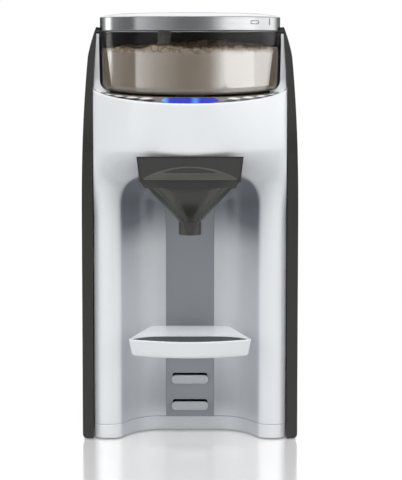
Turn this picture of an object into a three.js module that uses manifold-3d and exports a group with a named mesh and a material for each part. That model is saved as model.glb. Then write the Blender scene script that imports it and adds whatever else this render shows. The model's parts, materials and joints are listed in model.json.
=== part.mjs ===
// Baby formula maker for a kitchen counter: powder container on top, water tank behind it,
// funnel and bottle bay in front. Millimetres, Z up, front towards -Y, X to the right seen
// from the front, origin on the counter under the middle of the machine.

import * as THREE from 'three';
import { mergeVertices } from 'three/addons/utils/BufferGeometryUtils.js';
import Module from 'manifold-3d';

const wasm = await Module();
wasm.setup();

// Clearances
const fitGap = 0.3;
const slideGap = 0.5;
const runningGap = 1;
const overrun = 5;
const joinDepth = 1;

// Facets
const wideSides = 44;
const midSides = 18;
const smallSides = 12;
const tinySides = 8;

// Body
const bodyWidth = 189;
const panelThickness = 9.5;
const floorGap = 3;
const panelFront = 86;
const panelRear = 146;
const panelTop = 364;
const panelLeanStart = 200;
const panelLeanHeight = 146;
const panelOuterLean = 4.5;
const panelInnerLean = 1.8;
const panelSweepStart = 250;
const panelSweep = 28;
const panelRearRadius = 24;
const panelFootRadius = 4;

// Front shell: legs, coved bottle bay and the head that bulges over it
const shellWall = 3;
const legFront = 85;
const legWidth = 24;
const bayDepth = 35;
const bayFlatShare = 0.442623;
const bayCornerStart = 205;
const bayCornerHeight = 31;
const bayCornerPower = 2.6;
const headStart = 226;
const headFull = 258;
const funnelWindowDrop = 4;
const shellTop = 300;
const skirtTop = 13;
const seamGap = 0.4;

// Powder container, lid and collar
const containerBack = 50;
const containerSideGap = 4;
const containerWall = 2.2;
const containerBase = 2.5;
const containerHeight = 52.5;
const containerCornerRadius = 4;
const headLedge = 3.2;
const collarHeight = 6;
const collarWidth = 10;
const collarMargin = 0.8;
const sealHeight = 2;
const sealWidth = 6;
const lidSide = 10;
const lidCrown = 4.6;
const lidEdge = 1.5;
const lidWall = 2.5;
const lidMargin = 0.6;
const lidRimWidth = 4;
const lidCrownRise = 4.9;
const lightHalfAngle = 17;
const lightHeight = 4;
const lightDepth = 2.2;
const lightRise = 1;
const lightAngleGap = 1;

// Cradle under and beside the container
const deckThickness = 3;
const deckInset = 5.6;
const wingTopWidth = 1;
const wingHeight = 51;
const wingFront = 76;
const dividerThickness = 3;
const dividerGap = 3;

// Dosing drive
const wheelMargin = 15;
const wheelThickness = 8.5;
const wheelPockets = 5;
const pocketRadius = 10;
const pocketPlaceShare = 0.681818;
const hubRadius = 9;
const hubHeight = 12;
const armCount = 3;
const armWidth = 8;
const armHeight = 5;
const armMargin = 7;
const fingerX = -22.6;
const fingerY = -15;
const fingerRadius = 6.2;
const fingerRib = 0.9;
const fingerRibPitch = 4;
const fingerRibCount = 9;
const spindleRadius = 4;
const spindleCollarRadius = 6;
const spindleCollarHeight = 2;
const spindleCollarRise = 1;
const spindleCollarStep = 1;
const gearModule = 0.8;
const spindleTeeth = 45;
const pinionTeeth = 15;
const gearThickness = 6;
const gearDrop = 5;
const gearboxThickness = 2.5;
const gearboxHalfWidth = 33;
const gearboxPostRadius = 3.5;
const motorRadius = 17;
const motorLength = 38;
const motorEdge = 2;
const motorShaftRadius = 2;
const chuteRadius = 12.5;
const chuteWall = 1.5;
const chuteFlange = 4;
const chuteFlangeHeight = 2;

// Funnel and its dock
const funnelWall = 1.8;
const funnelConeMargin = 2.9;
const funnelSquash = 0.84;
const funnelConeTop = 230;
const funnelConeHeight = 37;
const spoutRadius = 10.4;
const spoutLength = 11.5;
const spoutStep = 0.4;
const funnelFrameHeight = 16;
const funnelRimReach = 1.8;
const funnelRimThickness = 2.2;
const funnelRimDrop = 4.8;
const funnelSideGap = 14;
const funnelPlateTop = 21.3;
const funnelPlateThickness = 3;
const funnelPlateTaper = 2.2;
const funnelCoverThickness = 1.2;
const funnelCoverMargin = 10;
const dockWall = 2;
const dockLip = 2;
const dockCeiling = 2.7;
const dockLipSetback = 3;
const dockChuteMargin = 2.5;

// Bottle tray and the slot plate behind it
const trayReach = 150;
const trayTop = 98.4;
const trayThickness = 14.4;
const traySideGap = 8;
const traySagitta = 14;
const trayBackInset = 18.2;
const trayBack = 67;
const trayWall = 3;
const tongueSideGap = 1.6;
const tongueThickness = 4.5;
const tongueLength = 6;
const matSideMargin = 17;
const matBackMargin = 1;
const matThickness = 1.2;
const slotPlateInset = 5.7;
const slotPlateTop = 210;
const slotCount = 3;
const slotPitch = 24;
const slotFirst = 26;
const slotInset = 5.7;
const slotHeight = 5.6;
const lipHeight = 7;
const lipReach = 2.4;
const lipRoundShare = 0.95;

// Water tank
const tankSideGap = 6.5;
const tankFrontGap = 3.2;
const tankRear = 141;
const tankWall = 2.2;
const tankHeight = 155;
const tankCorner = 12;
const tankLidThickness = 3.5;
const tankPinRadius = 1.6;
const tankKnuckleRadius = 3.6;
const tankKnuckleHalf = 10;
const tankEarWidth = 6;
const knuckleTrim = 1;
const knuckleRoot = 2;
const spigotRadius = 8.5;
const spigotBore = 6.5;
const spigotLength = 10;
const gasketHeight = 3;
const valveHeadRadius = 9.5;
const valveHeadHeight = 2.5;
const valveStemRadius = 1.8;
const valveLift = 3;
const seatHeight = 202;
const seatThickness = 3;
const seatCupRadius = 15;
const seatCupBore = 12.5;
const seatCupDepth = 16;
const seatCupFloor = 2;
const barbRadius = 4;
const barbBore = 2.4;
const barbLength = 9;

// Pump, heater, hoses and nozzle
const pumpRadius = 17;
const pumpLength = 52;
const pumpSideGap = 43;
const pumpY = 92;
const pumpPortRadius = 4;
const pumpPortLength = 8;
const heaterRadius = 21;
const heaterHeight = 78;
const heaterSideGap = 39;
const heaterY = 62;
const heaterFlange = 3;
const hoseRadius = 4;
const hoseBore = 2.4;
const hoseSides = 8;
const hoseSteps = 10;
const nozzleX = 0;
const nozzleBack = 22;
const nozzleRadius = 3.6;
const nozzleBore = 2.4;
const nozzleLength = 16;
const nozzleFlange = 2;

// Base, feet, screws and rear
const basePlateRise = 1;
const basePlateThickness = 3;
const basePlateInset = 5.4;
const legPlateInset = 3;
const basePlateSideGap = 1;
const footRadius = 9;
const footHeight = 5;
const footStep = 2;
const footEdge = 1;
const footInset = 12;
const footFront = 70;
const footRear = 122;
const bossRadius = 4.5;
const bossHeight = 14;
const bossCap = 2;
const bossFront = 54;
const bossRear = 104;
const screwHeadRadius = 3.4;
const screwHeadHeight = 2;
const screwShankRadius = 1.5;
const screwLength = 12;
const coverThickness = 3;
const coverRear = 147;
const coverReturn = 14;
const ventCount = 6;
const ventPitch = 9;
const ventHeight = 3.5;
const ventInset = 51;
const ventFirst = 96;
const glandInset = 30;
const glandZ = 26;
const glandRadius = 8;
const glandFlange = 10.5;
const glandBore = 4;
const glandReach = 3;
const rearScrewInset = 19;
const rearScrewZ = 178;

// Controls on the right side
const panelBezelBottom = 222;
const bezelHeight = 74;
const bezelWidth = 76;
const bezelY = -2;
const bezelThickness = 5;
const bezelCorner = 7;
const bezelRecess = 0.4;
const displayWidth = 46;
const displayHeight = 22;
const displayRise = 16;
const displayThickness = 2;
const buttonRadius = 5.6;
const buttonFlange = 1;
const buttonLength = 7;
const buttonProud = 0.4;
const buttonPitch = 21;
const buttonUpperRow = -8;
const buttonLowerRow = -25;
const postRadius = 2.5;
const boardThickness = 1.6;
const boardMargin = 4;
const powerBoardWidth = 62;
const powerBoardHeight = 70;
const powerBoardY = 132;
const powerBoardX = -6;
const transformerSide = 20;
const transformerDepth = 16;
const transformerInset = 10;
const relayWidth = 20;
const relayHeight = 12;
const relayDepth = 8;
const relayRise = 40;

// Derived places
const halfWidth = bodyWidth / 2;
const panelInner = halfWidth - panelThickness;
const shellHalf = panelInner - fitGap;
const containerRadius = panelInner - containerSideGap;
const containerY = -containerBack;
const collarRadius = containerRadius + collarMargin;
const headFront = containerBack + collarRadius + headLedge;
const headBulge = headFront - legFront;
const bayBack = legFront - bayDepth;
const bayHalfWidth = panelInner - legWidth;
const bayFlatHalf = bayHalfWidth * bayFlatShare;
const deckTop = shellTop + fitGap;
const containerBottom = deckTop + collarHeight + slideGap;
const containerTop = containerBottom + containerHeight;
const sealBottom = containerTop + fitGap;
const lidBottom = sealBottom + sealHeight + fitGap;
const lidRadius = containerRadius + lidMargin;
const wheelRadius = containerRadius - wheelMargin;
const wheelBottom = containerBottom + containerBase + fitGap;
const wheelTop = wheelBottom + wheelThickness;
const spoutBack = wheelRadius * pocketPlaceShare;
const dropY = containerY - spoutBack;
const pinionY = containerY + gearModule * (spindleTeeth + pinionTeeth) / 2;
const deckBottom = deckTop - deckThickness;
const gearTop = deckBottom - gearDrop;
const gearBottom = gearTop - gearThickness;
const gearboxTop = gearBottom - runningGap;
const gearboxBottom = gearboxTop - gearboxThickness;
const frameTop = funnelConeTop + funnelFrameHeight;
const funnelPlateHalf = bayHalfWidth - funnelSideGap;
const funnelFrameHalf = funnelPlateHalf - funnelRimReach;
const funnelConeRadius = funnelFrameHalf - funnelConeMargin;
const dockInner = funnelPlateHalf + slideGap;
const dockOuter = dockInner + dockWall;
const dockFront = dropY + dockLipSetback;
const dockCeilingFront = dropY - chuteRadius - dockChuteMargin;
const coverTop = frameTop + fitGap + funnelCoverThickness;
const ceilingBottom = coverTop + runningGap;
const ceilingTop = ceilingBottom + dockCeiling;
const dividerFront = containerY + collarRadius + dividerGap;
const trayHalfWidth = bayHalfWidth - traySideGap;
const trayBackHalf = trayHalfWidth - trayBackInset;
const trayClearDepth = trayReach - traySagitta / 2 - trayWall - trayBack - matBackMargin;
const matRadius = Math.min(trayClearDepth / 2, trayHalfWidth - matSideMargin);
const slotPlateHalf = bayFlatHalf - slotPlateInset;
const slotHalf = slotPlateHalf - slotInset;
const tongueHalf = slotHalf - tongueSideGap;
const tankHalfWidth = panelInner - tankSideGap;
const tankFront = dividerFront + dividerThickness + tankFrontGap;
const tankBottom = seatHeight + seatThickness + fitGap;
const tankTop = tankBottom + tankHeight;
const pumpX = pumpSideGap - panelInner;
const heaterX = panelInner - heaterSideGap;
const legPlateInner = bayHalfWidth + legPlateInset;
const footX = panelInner - footInset;
const ventHalf = panelInner - ventInset;
const glandX = panelInner - glandInset;
const rearScrewX = panelInner - rearScrewInset;
const basePlateBottom = floorGap + basePlateRise;
const basePlateTop = basePlateBottom + basePlateThickness;

// Finishes
const finishes = {
  white: { color: 0xe9ecef, roughness: 0.28, metalness: 0 },
  paleGrey: { color: 0xcfd3d6, roughness: 0.4, metalness: 0 },
  darkPanel: { color: 0x3a3733, roughness: 0.35, metalness: 0 },
  black: { color: 0x17181a, roughness: 0.3, metalness: 0 },
  silver: { color: 0xc4c6c8, roughness: 0.3, metalness: 0.9 },
  steel: { color: 0xb4b8bc, roughness: 0.35, metalness: 1 },
  smoke: { color: 0x7d776d, roughness: 0.08, metalness: 0 },
  darkSmoke: { color: 0x3b3b38, roughness: 0.15, metalness: 0 },
  clear: { color: 0xd5dde2, roughness: 0.1, metalness: 0 },
  silicone: { color: 0xd8dadb, roughness: 0.7, metalness: 0 },
  rubber: { color: 0x232425, roughness: 0.9, metalness: 0 },
  mat: { color: 0x4c5054, roughness: 0.8, metalness: 0 },
  acetal: { color: 0xdfe2e4, roughness: 0.45, metalness: 0 },
  blueLight: { color: 0x3c46c8, roughness: 0.3, metalness: 0 },
  board: { color: 0x1d5a3a, roughness: 0.6, metalness: 0 },
};

const machine = new THREE.Group();

function addPart(name, geometry, finish) {
  geometry.computeVertexNormals();
  const mesh = new THREE.Mesh(geometry, new THREE.MeshStandardMaterial(finishes[finish]));
  mesh.name = name;
  machine.add(mesh);
}

// Solids, joins and cuts
function solid(geometry) {
  const bare = geometry.clone();
  bare.deleteAttribute('normal');
  bare.deleteAttribute('uv');
  const merged = mergeVertices(bare);
  return new wasm.Manifold(new wasm.Mesh({
    numProp: 3,
    vertProperties: new Float32Array(merged.attributes.position.array),
    triVerts: new Uint32Array(merged.index.array),
  }));
}

function shaped(body) {
  const mesh = body.getMesh();
  const geometry = new THREE.BufferGeometry();
  geometry.setAttribute('position', new THREE.BufferAttribute(mesh.vertProperties, mesh.numProp));
  geometry.setIndex(new THREE.BufferAttribute(mesh.triVerts, 1));
  return geometry;
}

function join(first, ...others) {
  return shaped(others.reduce((body, other) => body.add(solid(other)), solid(first)));
}

function cut(first, ...others) {
  return shaped(others.reduce((body, other) => body.subtract(solid(other)), solid(first)));
}

function common(first, second) {
  return shaped(solid(first).intersect(solid(second)));
}

// A box given by its two corners
function block(x0, x1, y0, y1, z0, z1) {
  return new THREE.BoxGeometry(x1 - x0, y1 - y0, z1 - z0)
    .translate((x0 + x1) / 2, (y0 + y1) / 2, (z0 + z1) / 2);
}

// An upright rod on a point
function rod(radius, x, y, z0, z1, sides = smallSides) {
  return new THREE.CylinderGeometry(radius, radius, z1 - z0, sides)
    .rotateX(Math.PI / 2)
    .translate(x, y, (z0 + z1) / 2);
}

// A closed profile of [radius, height] points turned about an upright axis
function turned(profile, x, y, sides = midSides) {
  const points = [...profile, profile[0]].map(([radius, height]) => new THREE.Vector2(radius, height));
  return new THREE.LatheGeometry(points, sides).rotateX(Math.PI / 2).translate(x, y, 0);
}

// A ring of square section
function ring(outer, inner, x, y, z0, z1, sides = midSides) {
  return turned([[inner, z0], [outer, z0], [outer, z1], [inner, z1]], x, y, sides);
}

function upright(shape, z0, z1) {
  return new THREE.ExtrudeGeometry(shape, { depth: z1 - z0, bevelEnabled: false, curveSegments: 3 })
    .translate(0, 0, z0);
}

// Shapes drawn in X and Z, run along Y
function alongY(shape, y0, y1) {
  return new THREE.ExtrudeGeometry(shape, { depth: y1 - y0, bevelEnabled: false, curveSegments: 2 })
    .rotateX(Math.PI / 2)
    .translate(0, y1, 0);
}

// Shapes drawn in Y and Z, run along X
function alongX(shape, x0, x1) {
  return new THREE.ExtrudeGeometry(shape, { depth: x1 - x0, bevelEnabled: false, curveSegments: 2 })
    .rotateX(Math.PI / 2)
    .rotateZ(Math.PI / 2)
    .translate(x0, 0, 0);
}

function outline(points) {
  return new THREE.Shape(points.map(([x, y]) => new THREE.Vector2(x, y)));
}

function roundedRectangle(x0, x1, y0, y1, radius) {
  const shape = new THREE.Shape();
  shape.moveTo(x0 + radius, y0);
  shape.lineTo(x1 - radius, y0);
  shape.absarc(x1 - radius, y0 + radius, radius, -Math.PI / 2, 0);
  shape.absarc(x1 - radius, y1 - radius, radius, 0, Math.PI / 2);
  shape.absarc(x0 + radius, y1 - radius, radius, Math.PI / 2, Math.PI);
  shape.absarc(x0 + radius, y0 + radius, radius, Math.PI, 1.5 * Math.PI);
  return shape;
}

function mirrored(geometry) {
  const other = geometry.clone().scale(-1, 1, 1);
  const index = other.index ? other.index.array : null;
  if (index) {
    for (let i = 0; i < index.length; i += 3) [index[i], index[i + 1]] = [index[i + 1], index[i]];
    return other;
  }
  return shaped(solid(geometry).mirror([1, 0, 0]));
}

// Front surface of the white shell: a gentle head bulge over two legs and a coved bay
const smooth = THREE.MathUtils.smoothstep;

function bulge(x) {
  return headBulge * (1 - (x / shellHalf) ** 2);
}

function bayRadius(x, z) {
  const across = Math.max(0, Math.abs(x) - bayFlatHalf) / (bayHalfWidth - bayFlatHalf);
  const up = Math.max(0, z - bayCornerStart) / bayCornerHeight;
  return (across ** bayCornerPower + up ** bayCornerPower) ** (1 / bayCornerPower);
}

function shellFront(x, z) {
  const cove = Math.sqrt(Math.max(0, 1 - bayRadius(x, z) ** 2));
  return -legFront - bulge(x) * smooth(z, headStart, headFull) + bayDepth * cove;
}

// Wall laid on that surface, with its inner side set back square to it
function shellSkin(columnX, rowZ, wall) {
  const columns = columnX.length - 1;
  const rows = rowZ.length - 1;
  const skin = new THREE.BoxGeometry(columns, 1, rows, columns, 1, rows);
  const places = skin.attributes.position;
  const step = wall / 2;
  for (let i = 0; i < places.count; i += 1) {
    const x = columnX[Math.round(places.getX(i) + columns / 2)];
    const z = rowZ[Math.round(places.getZ(i) + rows / 2)];
    const point = new THREE.Vector3(x, shellFront(x, z), z);
    if (places.getY(i) > 0) {
      const slopeX = (shellFront(x + step, z) - shellFront(x - step, z)) / (2 * step);
      const slopeZ = (shellFront(x, z + step) - shellFront(x, z - step)) / (2 * step);
      const inward = new THREE.Vector3(-slopeX, 1, -slopeZ).normalize().multiplyScalar(wall);
      if (Math.abs(x) === shellHalf) inward.x = 0;
      if (z === rowZ[0] || z === rowZ[rows]) inward.z = 0;
      point.add(inward);
    }
    places.setXYZ(i, point.x, point.y, point.z);
  }
  return skin;
}

const coveShares = [0.26, 0.5, 0.7, 0.86, 0.96, 1];
const legShares = [0.35, 0.75, 1];
const flatShares = [0.5, 1];

function shellColumns() {
  const right = [
    ...flatShares.map((share) => share * bayFlatHalf),
    ...coveShares.map((share) => bayFlatHalf + share * (bayHalfWidth - bayFlatHalf)),
    ...legShares.map((share) => bayHalfWidth + share * (shellHalf - bayHalfWidth)),
  ];
  return [...right.map((x) => -x).reverse(), 0, ...right];
}

const cornerShares = [0, 0.3, 0.55, 0.74, 0.87, 0.96, 1.03];
const headShares = [0.4, 0.55, 0.7, 0.85, 1];

function makeFrontShell() {
  const rows = [
    skirtTop + seamGap,
    ...cornerShares.map((share) => bayCornerStart + share * bayCornerHeight),
    ...headShares.map((share) => headStart + share * (headFull - headStart)),
    shellTop,
  ];
  const funnelWindow = block(
    -dockOuter - fitGap, dockOuter + fitGap,
    -headFront - overrun, -bayBack + shellWall + overrun,
    funnelConeTop - funnelWindowDrop, ceilingTop + fitGap,
  );
  const plateWindow = block(
    -slotPlateHalf - fitGap, slotPlateHalf + fitGap,
    -bayBack - overrun, -bayBack + shellWall + overrun,
    skirtTop - overrun, slotPlateTop + fitGap,
  );
  addPart('front_shell', cut(shellSkin(shellColumns(), rows, shellWall), funnelWindow, plateWindow), 'white');
}

function makeBaseSkirt() {
  addPart('base_skirt', shellSkin(shellColumns(), [floorGap, skirtTop], shellWall), 'white');
}

// Side panels: a thick slab that leans in towards a thin top edge
function leanShare(z) {
  return (Math.max(0, z - panelLeanStart) / panelLeanHeight) ** 2;
}

function makeSidePanels() {
  const shoulder = panelLeanStart + panelLeanHeight;
  const tipX = panelInner - panelInnerLean;
  const shoulderX = halfWidth - panelOuterLean;
  const section = [[panelInner, floorGap], [halfWidth - panelFootRadius, floorGap]];
  for (let i = 1; i <= 3; i += 1) {
    const angle = (i / 3) * Math.PI / 2;
    section.push([
      halfWidth - panelFootRadius * (1 - Math.sin(angle)),
      floorGap + panelFootRadius * (1 - Math.cos(angle)),
    ]);
  }
  for (let i = 0; i <= 4; i += 1) {
    const z = panelLeanStart + (i / 4) * panelLeanHeight;
    section.push([halfWidth - panelOuterLean * leanShare(z), z]);
  }
  for (let i = 1; i <= 5; i += 1) {
    const angle = (i / 5) * Math.PI / 2;
    section.push([
      tipX + wingTopWidth + (shoulderX - tipX - wingTopWidth) * Math.cos(angle),
      shoulder + (panelTop - shoulder) * Math.sin(angle),
    ]);
  }
  section.push([tipX, panelTop], [panelInner, shellTop]);
  const side = [[panelRear, floorGap], [panelRear, panelTop - panelRearRadius]];
  for (let i = 1; i <= 4; i += 1) {
    const angle = (i / 4) * Math.PI / 2;
    side.push([
      panelRear - panelRearRadius * (1 - Math.cos(angle)),
      panelTop - panelRearRadius * (1 - Math.sin(angle)),
    ]);
  }
  for (let i = 6; i >= 0; i -= 1) {
    const share = i / 6;
    const z = panelSweepStart + share * (panelTop - panelSweepStart);
    side.push([-panelFront + panelSweep * share ** 2, z]);
  }
  side.push([-panelFront, floorGap]);
  const slab = alongY(outline(section), -panelFront - overrun, panelRear + overrun);
  const panel = common(slab, alongX(outline(side), panelInner - 2 * panelThickness, halfWidth + overrun));
  const window = alongX(bezelOutline(fitGap), panelInner - overrun, halfWidth + overrun);
  addPart('left_side_panel', mirrored(panel), 'darkPanel');
  addPart('right_side_panel', cut(panel, window), 'darkPanel');
}

// Base plate, feet and screws
function plateOutline(inset) {
  const points = [];
  const columns = 8;
  for (let i = 0; i <= columns; i += 1) {
    const x = -legPlateInner + (2 * legPlateInner * i) / columns;
    points.push([x, shellFront(x * (bayHalfWidth - inset) / legPlateInner, 0) + inset + shellWall]);
  }
  return [
    [-shellHalf + basePlateSideGap, -legFront + inset], [-legPlateInner, -legFront + inset],
    ...points, [legPlateInner, -legFront + inset], [shellHalf - basePlateSideGap, -legFront + inset],
    [shellHalf - basePlateSideGap, coverRear - coverThickness - fitGap],
    [-shellHalf + basePlateSideGap, coverRear - coverThickness - fitGap],
  ];
}

const footPlaces = [
  ['front_left_foot', -footX, -footFront],
  ['front_right_foot', footX, -footFront],
  ['rear_left_foot', -footX, footRear],
  ['rear_right_foot', footX, footRear],
];
const bossPlaces = [[-footX, -bossFront], [footX, -bossFront], [-footX, bossRear], [footX, bossRear]];

function makeBase() {
  const plate = upright(outline(plateOutline(basePlateInset)), basePlateBottom, basePlateTop);
  const bossTop = basePlateTop + bossHeight;
  const bosses = bossPlaces.map(([x, y]) => rod(bossRadius, x, y, basePlateBottom, bossTop, tinySides));
  const cuts = [];
  for (const [, x, y] of footPlaces) {
    cuts.push(rod(footRadius - footStep + fitGap, x, y, 0, basePlateTop + overrun));
  }
  for (const [x, y] of bossPlaces) {
    cuts.push(rod(screwShankRadius + fitGap, x, y, 0, bossTop - bossCap, tinySides));
    cuts.push(rod(screwHeadRadius + fitGap, x, y, 0, basePlateBottom + screwHeadHeight / 2, tinySides));
  }
  addPart('base_plate', cut(join(plate, ...bosses), ...cuts), 'paleGrey');
  for (const [name, x, y] of footPlaces) {
    const stem = footRadius - footStep;
    addPart(name, turned([
      [0, 0], [footRadius - footEdge, 0], [footRadius, footEdge], [footRadius, basePlateBottom - fitGap],
      [stem, basePlateBottom - fitGap], [stem, footHeight], [0, footHeight],
    ], x, y, smallSides), 'rubber');
  }
  bossPlaces.forEach(([x, y], i) => {
    const headBottom = basePlateBottom + screwHeadHeight / 2 - fitGap - screwHeadHeight;
    addPart(`base_screw_${i + 1}`, turned([
      [0, headBottom], [screwHeadRadius, headBottom], [screwHeadRadius, headBottom + screwHeadHeight],
      [screwShankRadius, headBottom + screwHeadHeight], [screwShankRadius, headBottom + screwLength],
      [0, headBottom + screwLength],
    ], x, y, tinySides), 'steel');
  });
}

// Rear cover with vents, its screws and the cord gland
function alongRear(geometry, x, z) {
  return geometry.rotateX(Math.PI / 2).translate(x, 0, z);
}

function makeRear() {
  const returnEnd = coverRear - coverReturn;
  const innerFace = coverRear - coverThickness;
  const innerHalf = shellHalf - coverThickness;
  const section = outline([
    [-shellHalf, returnEnd], [-innerHalf, returnEnd], [-innerHalf, innerFace], [innerHalf, innerFace],
    [innerHalf, returnEnd], [shellHalf, returnEnd], [shellHalf, coverRear], [-shellHalf, coverRear],
  ]);
  const cuts = [];
  for (let i = 0; i < ventCount; i += 1) {
    const z = ventFirst + i * ventPitch;
    cuts.push(block(-ventHalf, ventHalf, returnEnd, coverRear + overrun, z, z + ventHeight));
  }
  const holeEnd = -coverRear - overrun;
  cuts.push(alongRear(rod(glandRadius + fitGap, 0, 0, holeEnd, -returnEnd), glandX, glandZ));
  for (const side of [-1, 1]) {
    const hole = rod(screwShankRadius + fitGap, 0, 0, holeEnd, -returnEnd, tinySides);
    cuts.push(alongRear(hole, side * rearScrewX, rearScrewZ));
  }
  const cover = upright(section, basePlateTop + fitGap, seatHeight - fitGap);
  addPart('rear_cover', cut(cover, ...cuts), 'darkPanel');
  const face = -coverRear - fitGap;
  const gland = turned([
    [glandBore, face - glandReach + fitGap], [glandFlange, face - glandReach + fitGap], [glandFlange, face],
    [glandRadius, face], [glandRadius, face + coverReturn], [glandBore, face + coverReturn],
  ], 0, 0, smallSides);
  addPart('cord_gland', alongRear(gland, glandX, glandZ), 'black');
  [-1, 1].forEach((side, i) => {
    const screw = turned([
      [0, face - screwHeadHeight], [screwHeadRadius, face - screwHeadHeight], [screwHeadRadius, face],
      [screwShankRadius, face], [screwShankRadius, face + screwLength], [0, face + screwLength],
    ], 0, 0, tinySides);
    addPart(`rear_screw_${i + 1}`, alongRear(screw, side * rearScrewX, rearScrewZ), 'steel');
  });
}

// Cradle: deck under the container, white wings beside it and the divider to the tank
function makeCradle() {
  const points = [];
  const columns = 12;
  const half = shellHalf - slideGap;
  for (let i = 0; i <= columns; i += 1) {
    const x = -half + (2 * half * i) / columns;
    points.push([x, -legFront - bulge(x) + deckInset]);
  }
  points.push([half, dividerFront + dividerThickness], [-half, dividerFront + dividerThickness]);
  const deck = upright(outline(points), deckBottom, deckTop);
  const wingTop = deckTop + wingHeight;
  const inner = collarRadius + fitGap;
  const wingSection = [
    [inner, deckBottom], [half, deckBottom], [inner + wingTopWidth, wingTop], [inner, wingTop],
  ];
  const rightWing = alongY(outline(wingSection), -wingFront, dividerFront + dividerThickness);
  const divider = block(
    -inner - fitGap, inner + fitGap, dividerFront, dividerFront + dividerThickness,
    seatHeight + seatThickness, wingTop,
  );
  const body = join(deck, rightWing, mirrored(rightWing), divider);
  addPart('container_cradle', cut(
    body,
    rod(spindleCollarRadius + slideGap, 0, containerY, deckBottom - overrun, deckTop + overrun),
    rod(chuteRadius + fitGap, 0, dropY, deckBottom - overrun, deckTop + overrun, midSides),
  ), 'white');
}

// Black collar under the container, with the light set into its front
function makeCollar() {
  const lightBottom = deckTop + lightRise;
  const lightTop = lightBottom + lightHeight;
  const notch = arcBlock(
    collarRadius + overrun, collarRadius - lightDepth - fitGap, lightHalfAngle + lightAngleGap,
    lightBottom, lightTop,
  );
  const body = cut(
    ring(collarRadius, collarRadius - collarWidth, 0, containerY, deckTop, deckTop + collarHeight, wideSides),
    notch,
  );
  addPart('container_collar', body, 'black');
  const light = arcBlock(
    collarRadius + fitGap, collarRadius - lightDepth, lightHalfAngle, lightBottom + fitGap, lightTop - fitGap,
  );
  addPart('status_light', light, 'blueLight');
}

// A piece of a ring, centred on the front of the container
function arcBlock(outer, inner, halfAngle, z0, z1) {
  const half = THREE.MathUtils.degToRad(halfAngle);
  const shape = new THREE.Shape();
  shape.absarc(0, 0, outer, -Math.PI / 2 - half, -Math.PI / 2 + half, false);
  shape.absarc(0, 0, inner, -Math.PI / 2 + half, -Math.PI / 2 - half, true);
  return upright(shape, z0, z1).translate(0, containerY, 0);
}

function makeContainer() {
  const outer = containerRadius;
  const inner = outer - containerWall;
  const profile = [[0, containerBottom], [outer - containerCornerRadius, containerBottom]];
  for (let i = 1; i <= 3; i += 1) {
    const angle = (i / 3) * Math.PI / 2;
    profile.push([
      outer - containerCornerRadius * (1 - Math.sin(angle)),
      containerBottom + containerCornerRadius * (1 - Math.cos(angle)),
    ]);
  }
  profile.push(
    [outer, containerTop], [inner, containerTop], [inner, containerBottom + containerCornerRadius],
    [inner - containerWall, containerBottom + containerBase], [0, containerBottom + containerBase],
  );
  const cup = turned(profile, 0, containerY, wideSides);
  addPart('powder_container', cut(
    cup,
    rod(spindleCollarRadius, 0, containerY, containerBottom - overrun, containerTop),
    rod(pocketRadius, 0, dropY, containerBottom - overrun, containerTop),
  ), 'smoke');
}

function makeLid() {
  const sideTop = lidBottom + lidSide;
  const crownTop = sideTop + lidEdge + lidCrownRise;
  const rim = lidRadius - lidEdge;
  const profile = [[lidRadius - lidRimWidth, lidBottom], [lidRadius, lidBottom], [lidRadius, sideTop]];
  for (let i = 1; i <= 2; i += 1) {
    const angle = (i / 2) * Math.PI / 2;
    profile.push([rim + lidEdge * Math.cos(angle), sideTop + lidEdge * Math.sin(angle)]);
  }
  const crownShares = [0.67, 0.33];
  for (const share of crownShares) profile.push([share * rim, crownTop - lidCrown * share ** 2]);
  profile.push([0, crownTop], [0, crownTop - lidWall]);
  for (const share of [...crownShares].reverse()) {
    profile.push([share * rim, crownTop - lidWall - lidCrown * share ** 2]);
  }
  profile.push([lidRadius - lidRimWidth, sideTop - lidWall]);
  addPart('container_lid', turned(profile, 0, containerY, wideSides), 'silver');
  addPart('lid_seal', ring(
    containerRadius, containerRadius - sealWidth, 0, containerY,
    sealBottom, sealBottom + sealHeight, wideSides,
  ), 'silicone');
}

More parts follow.
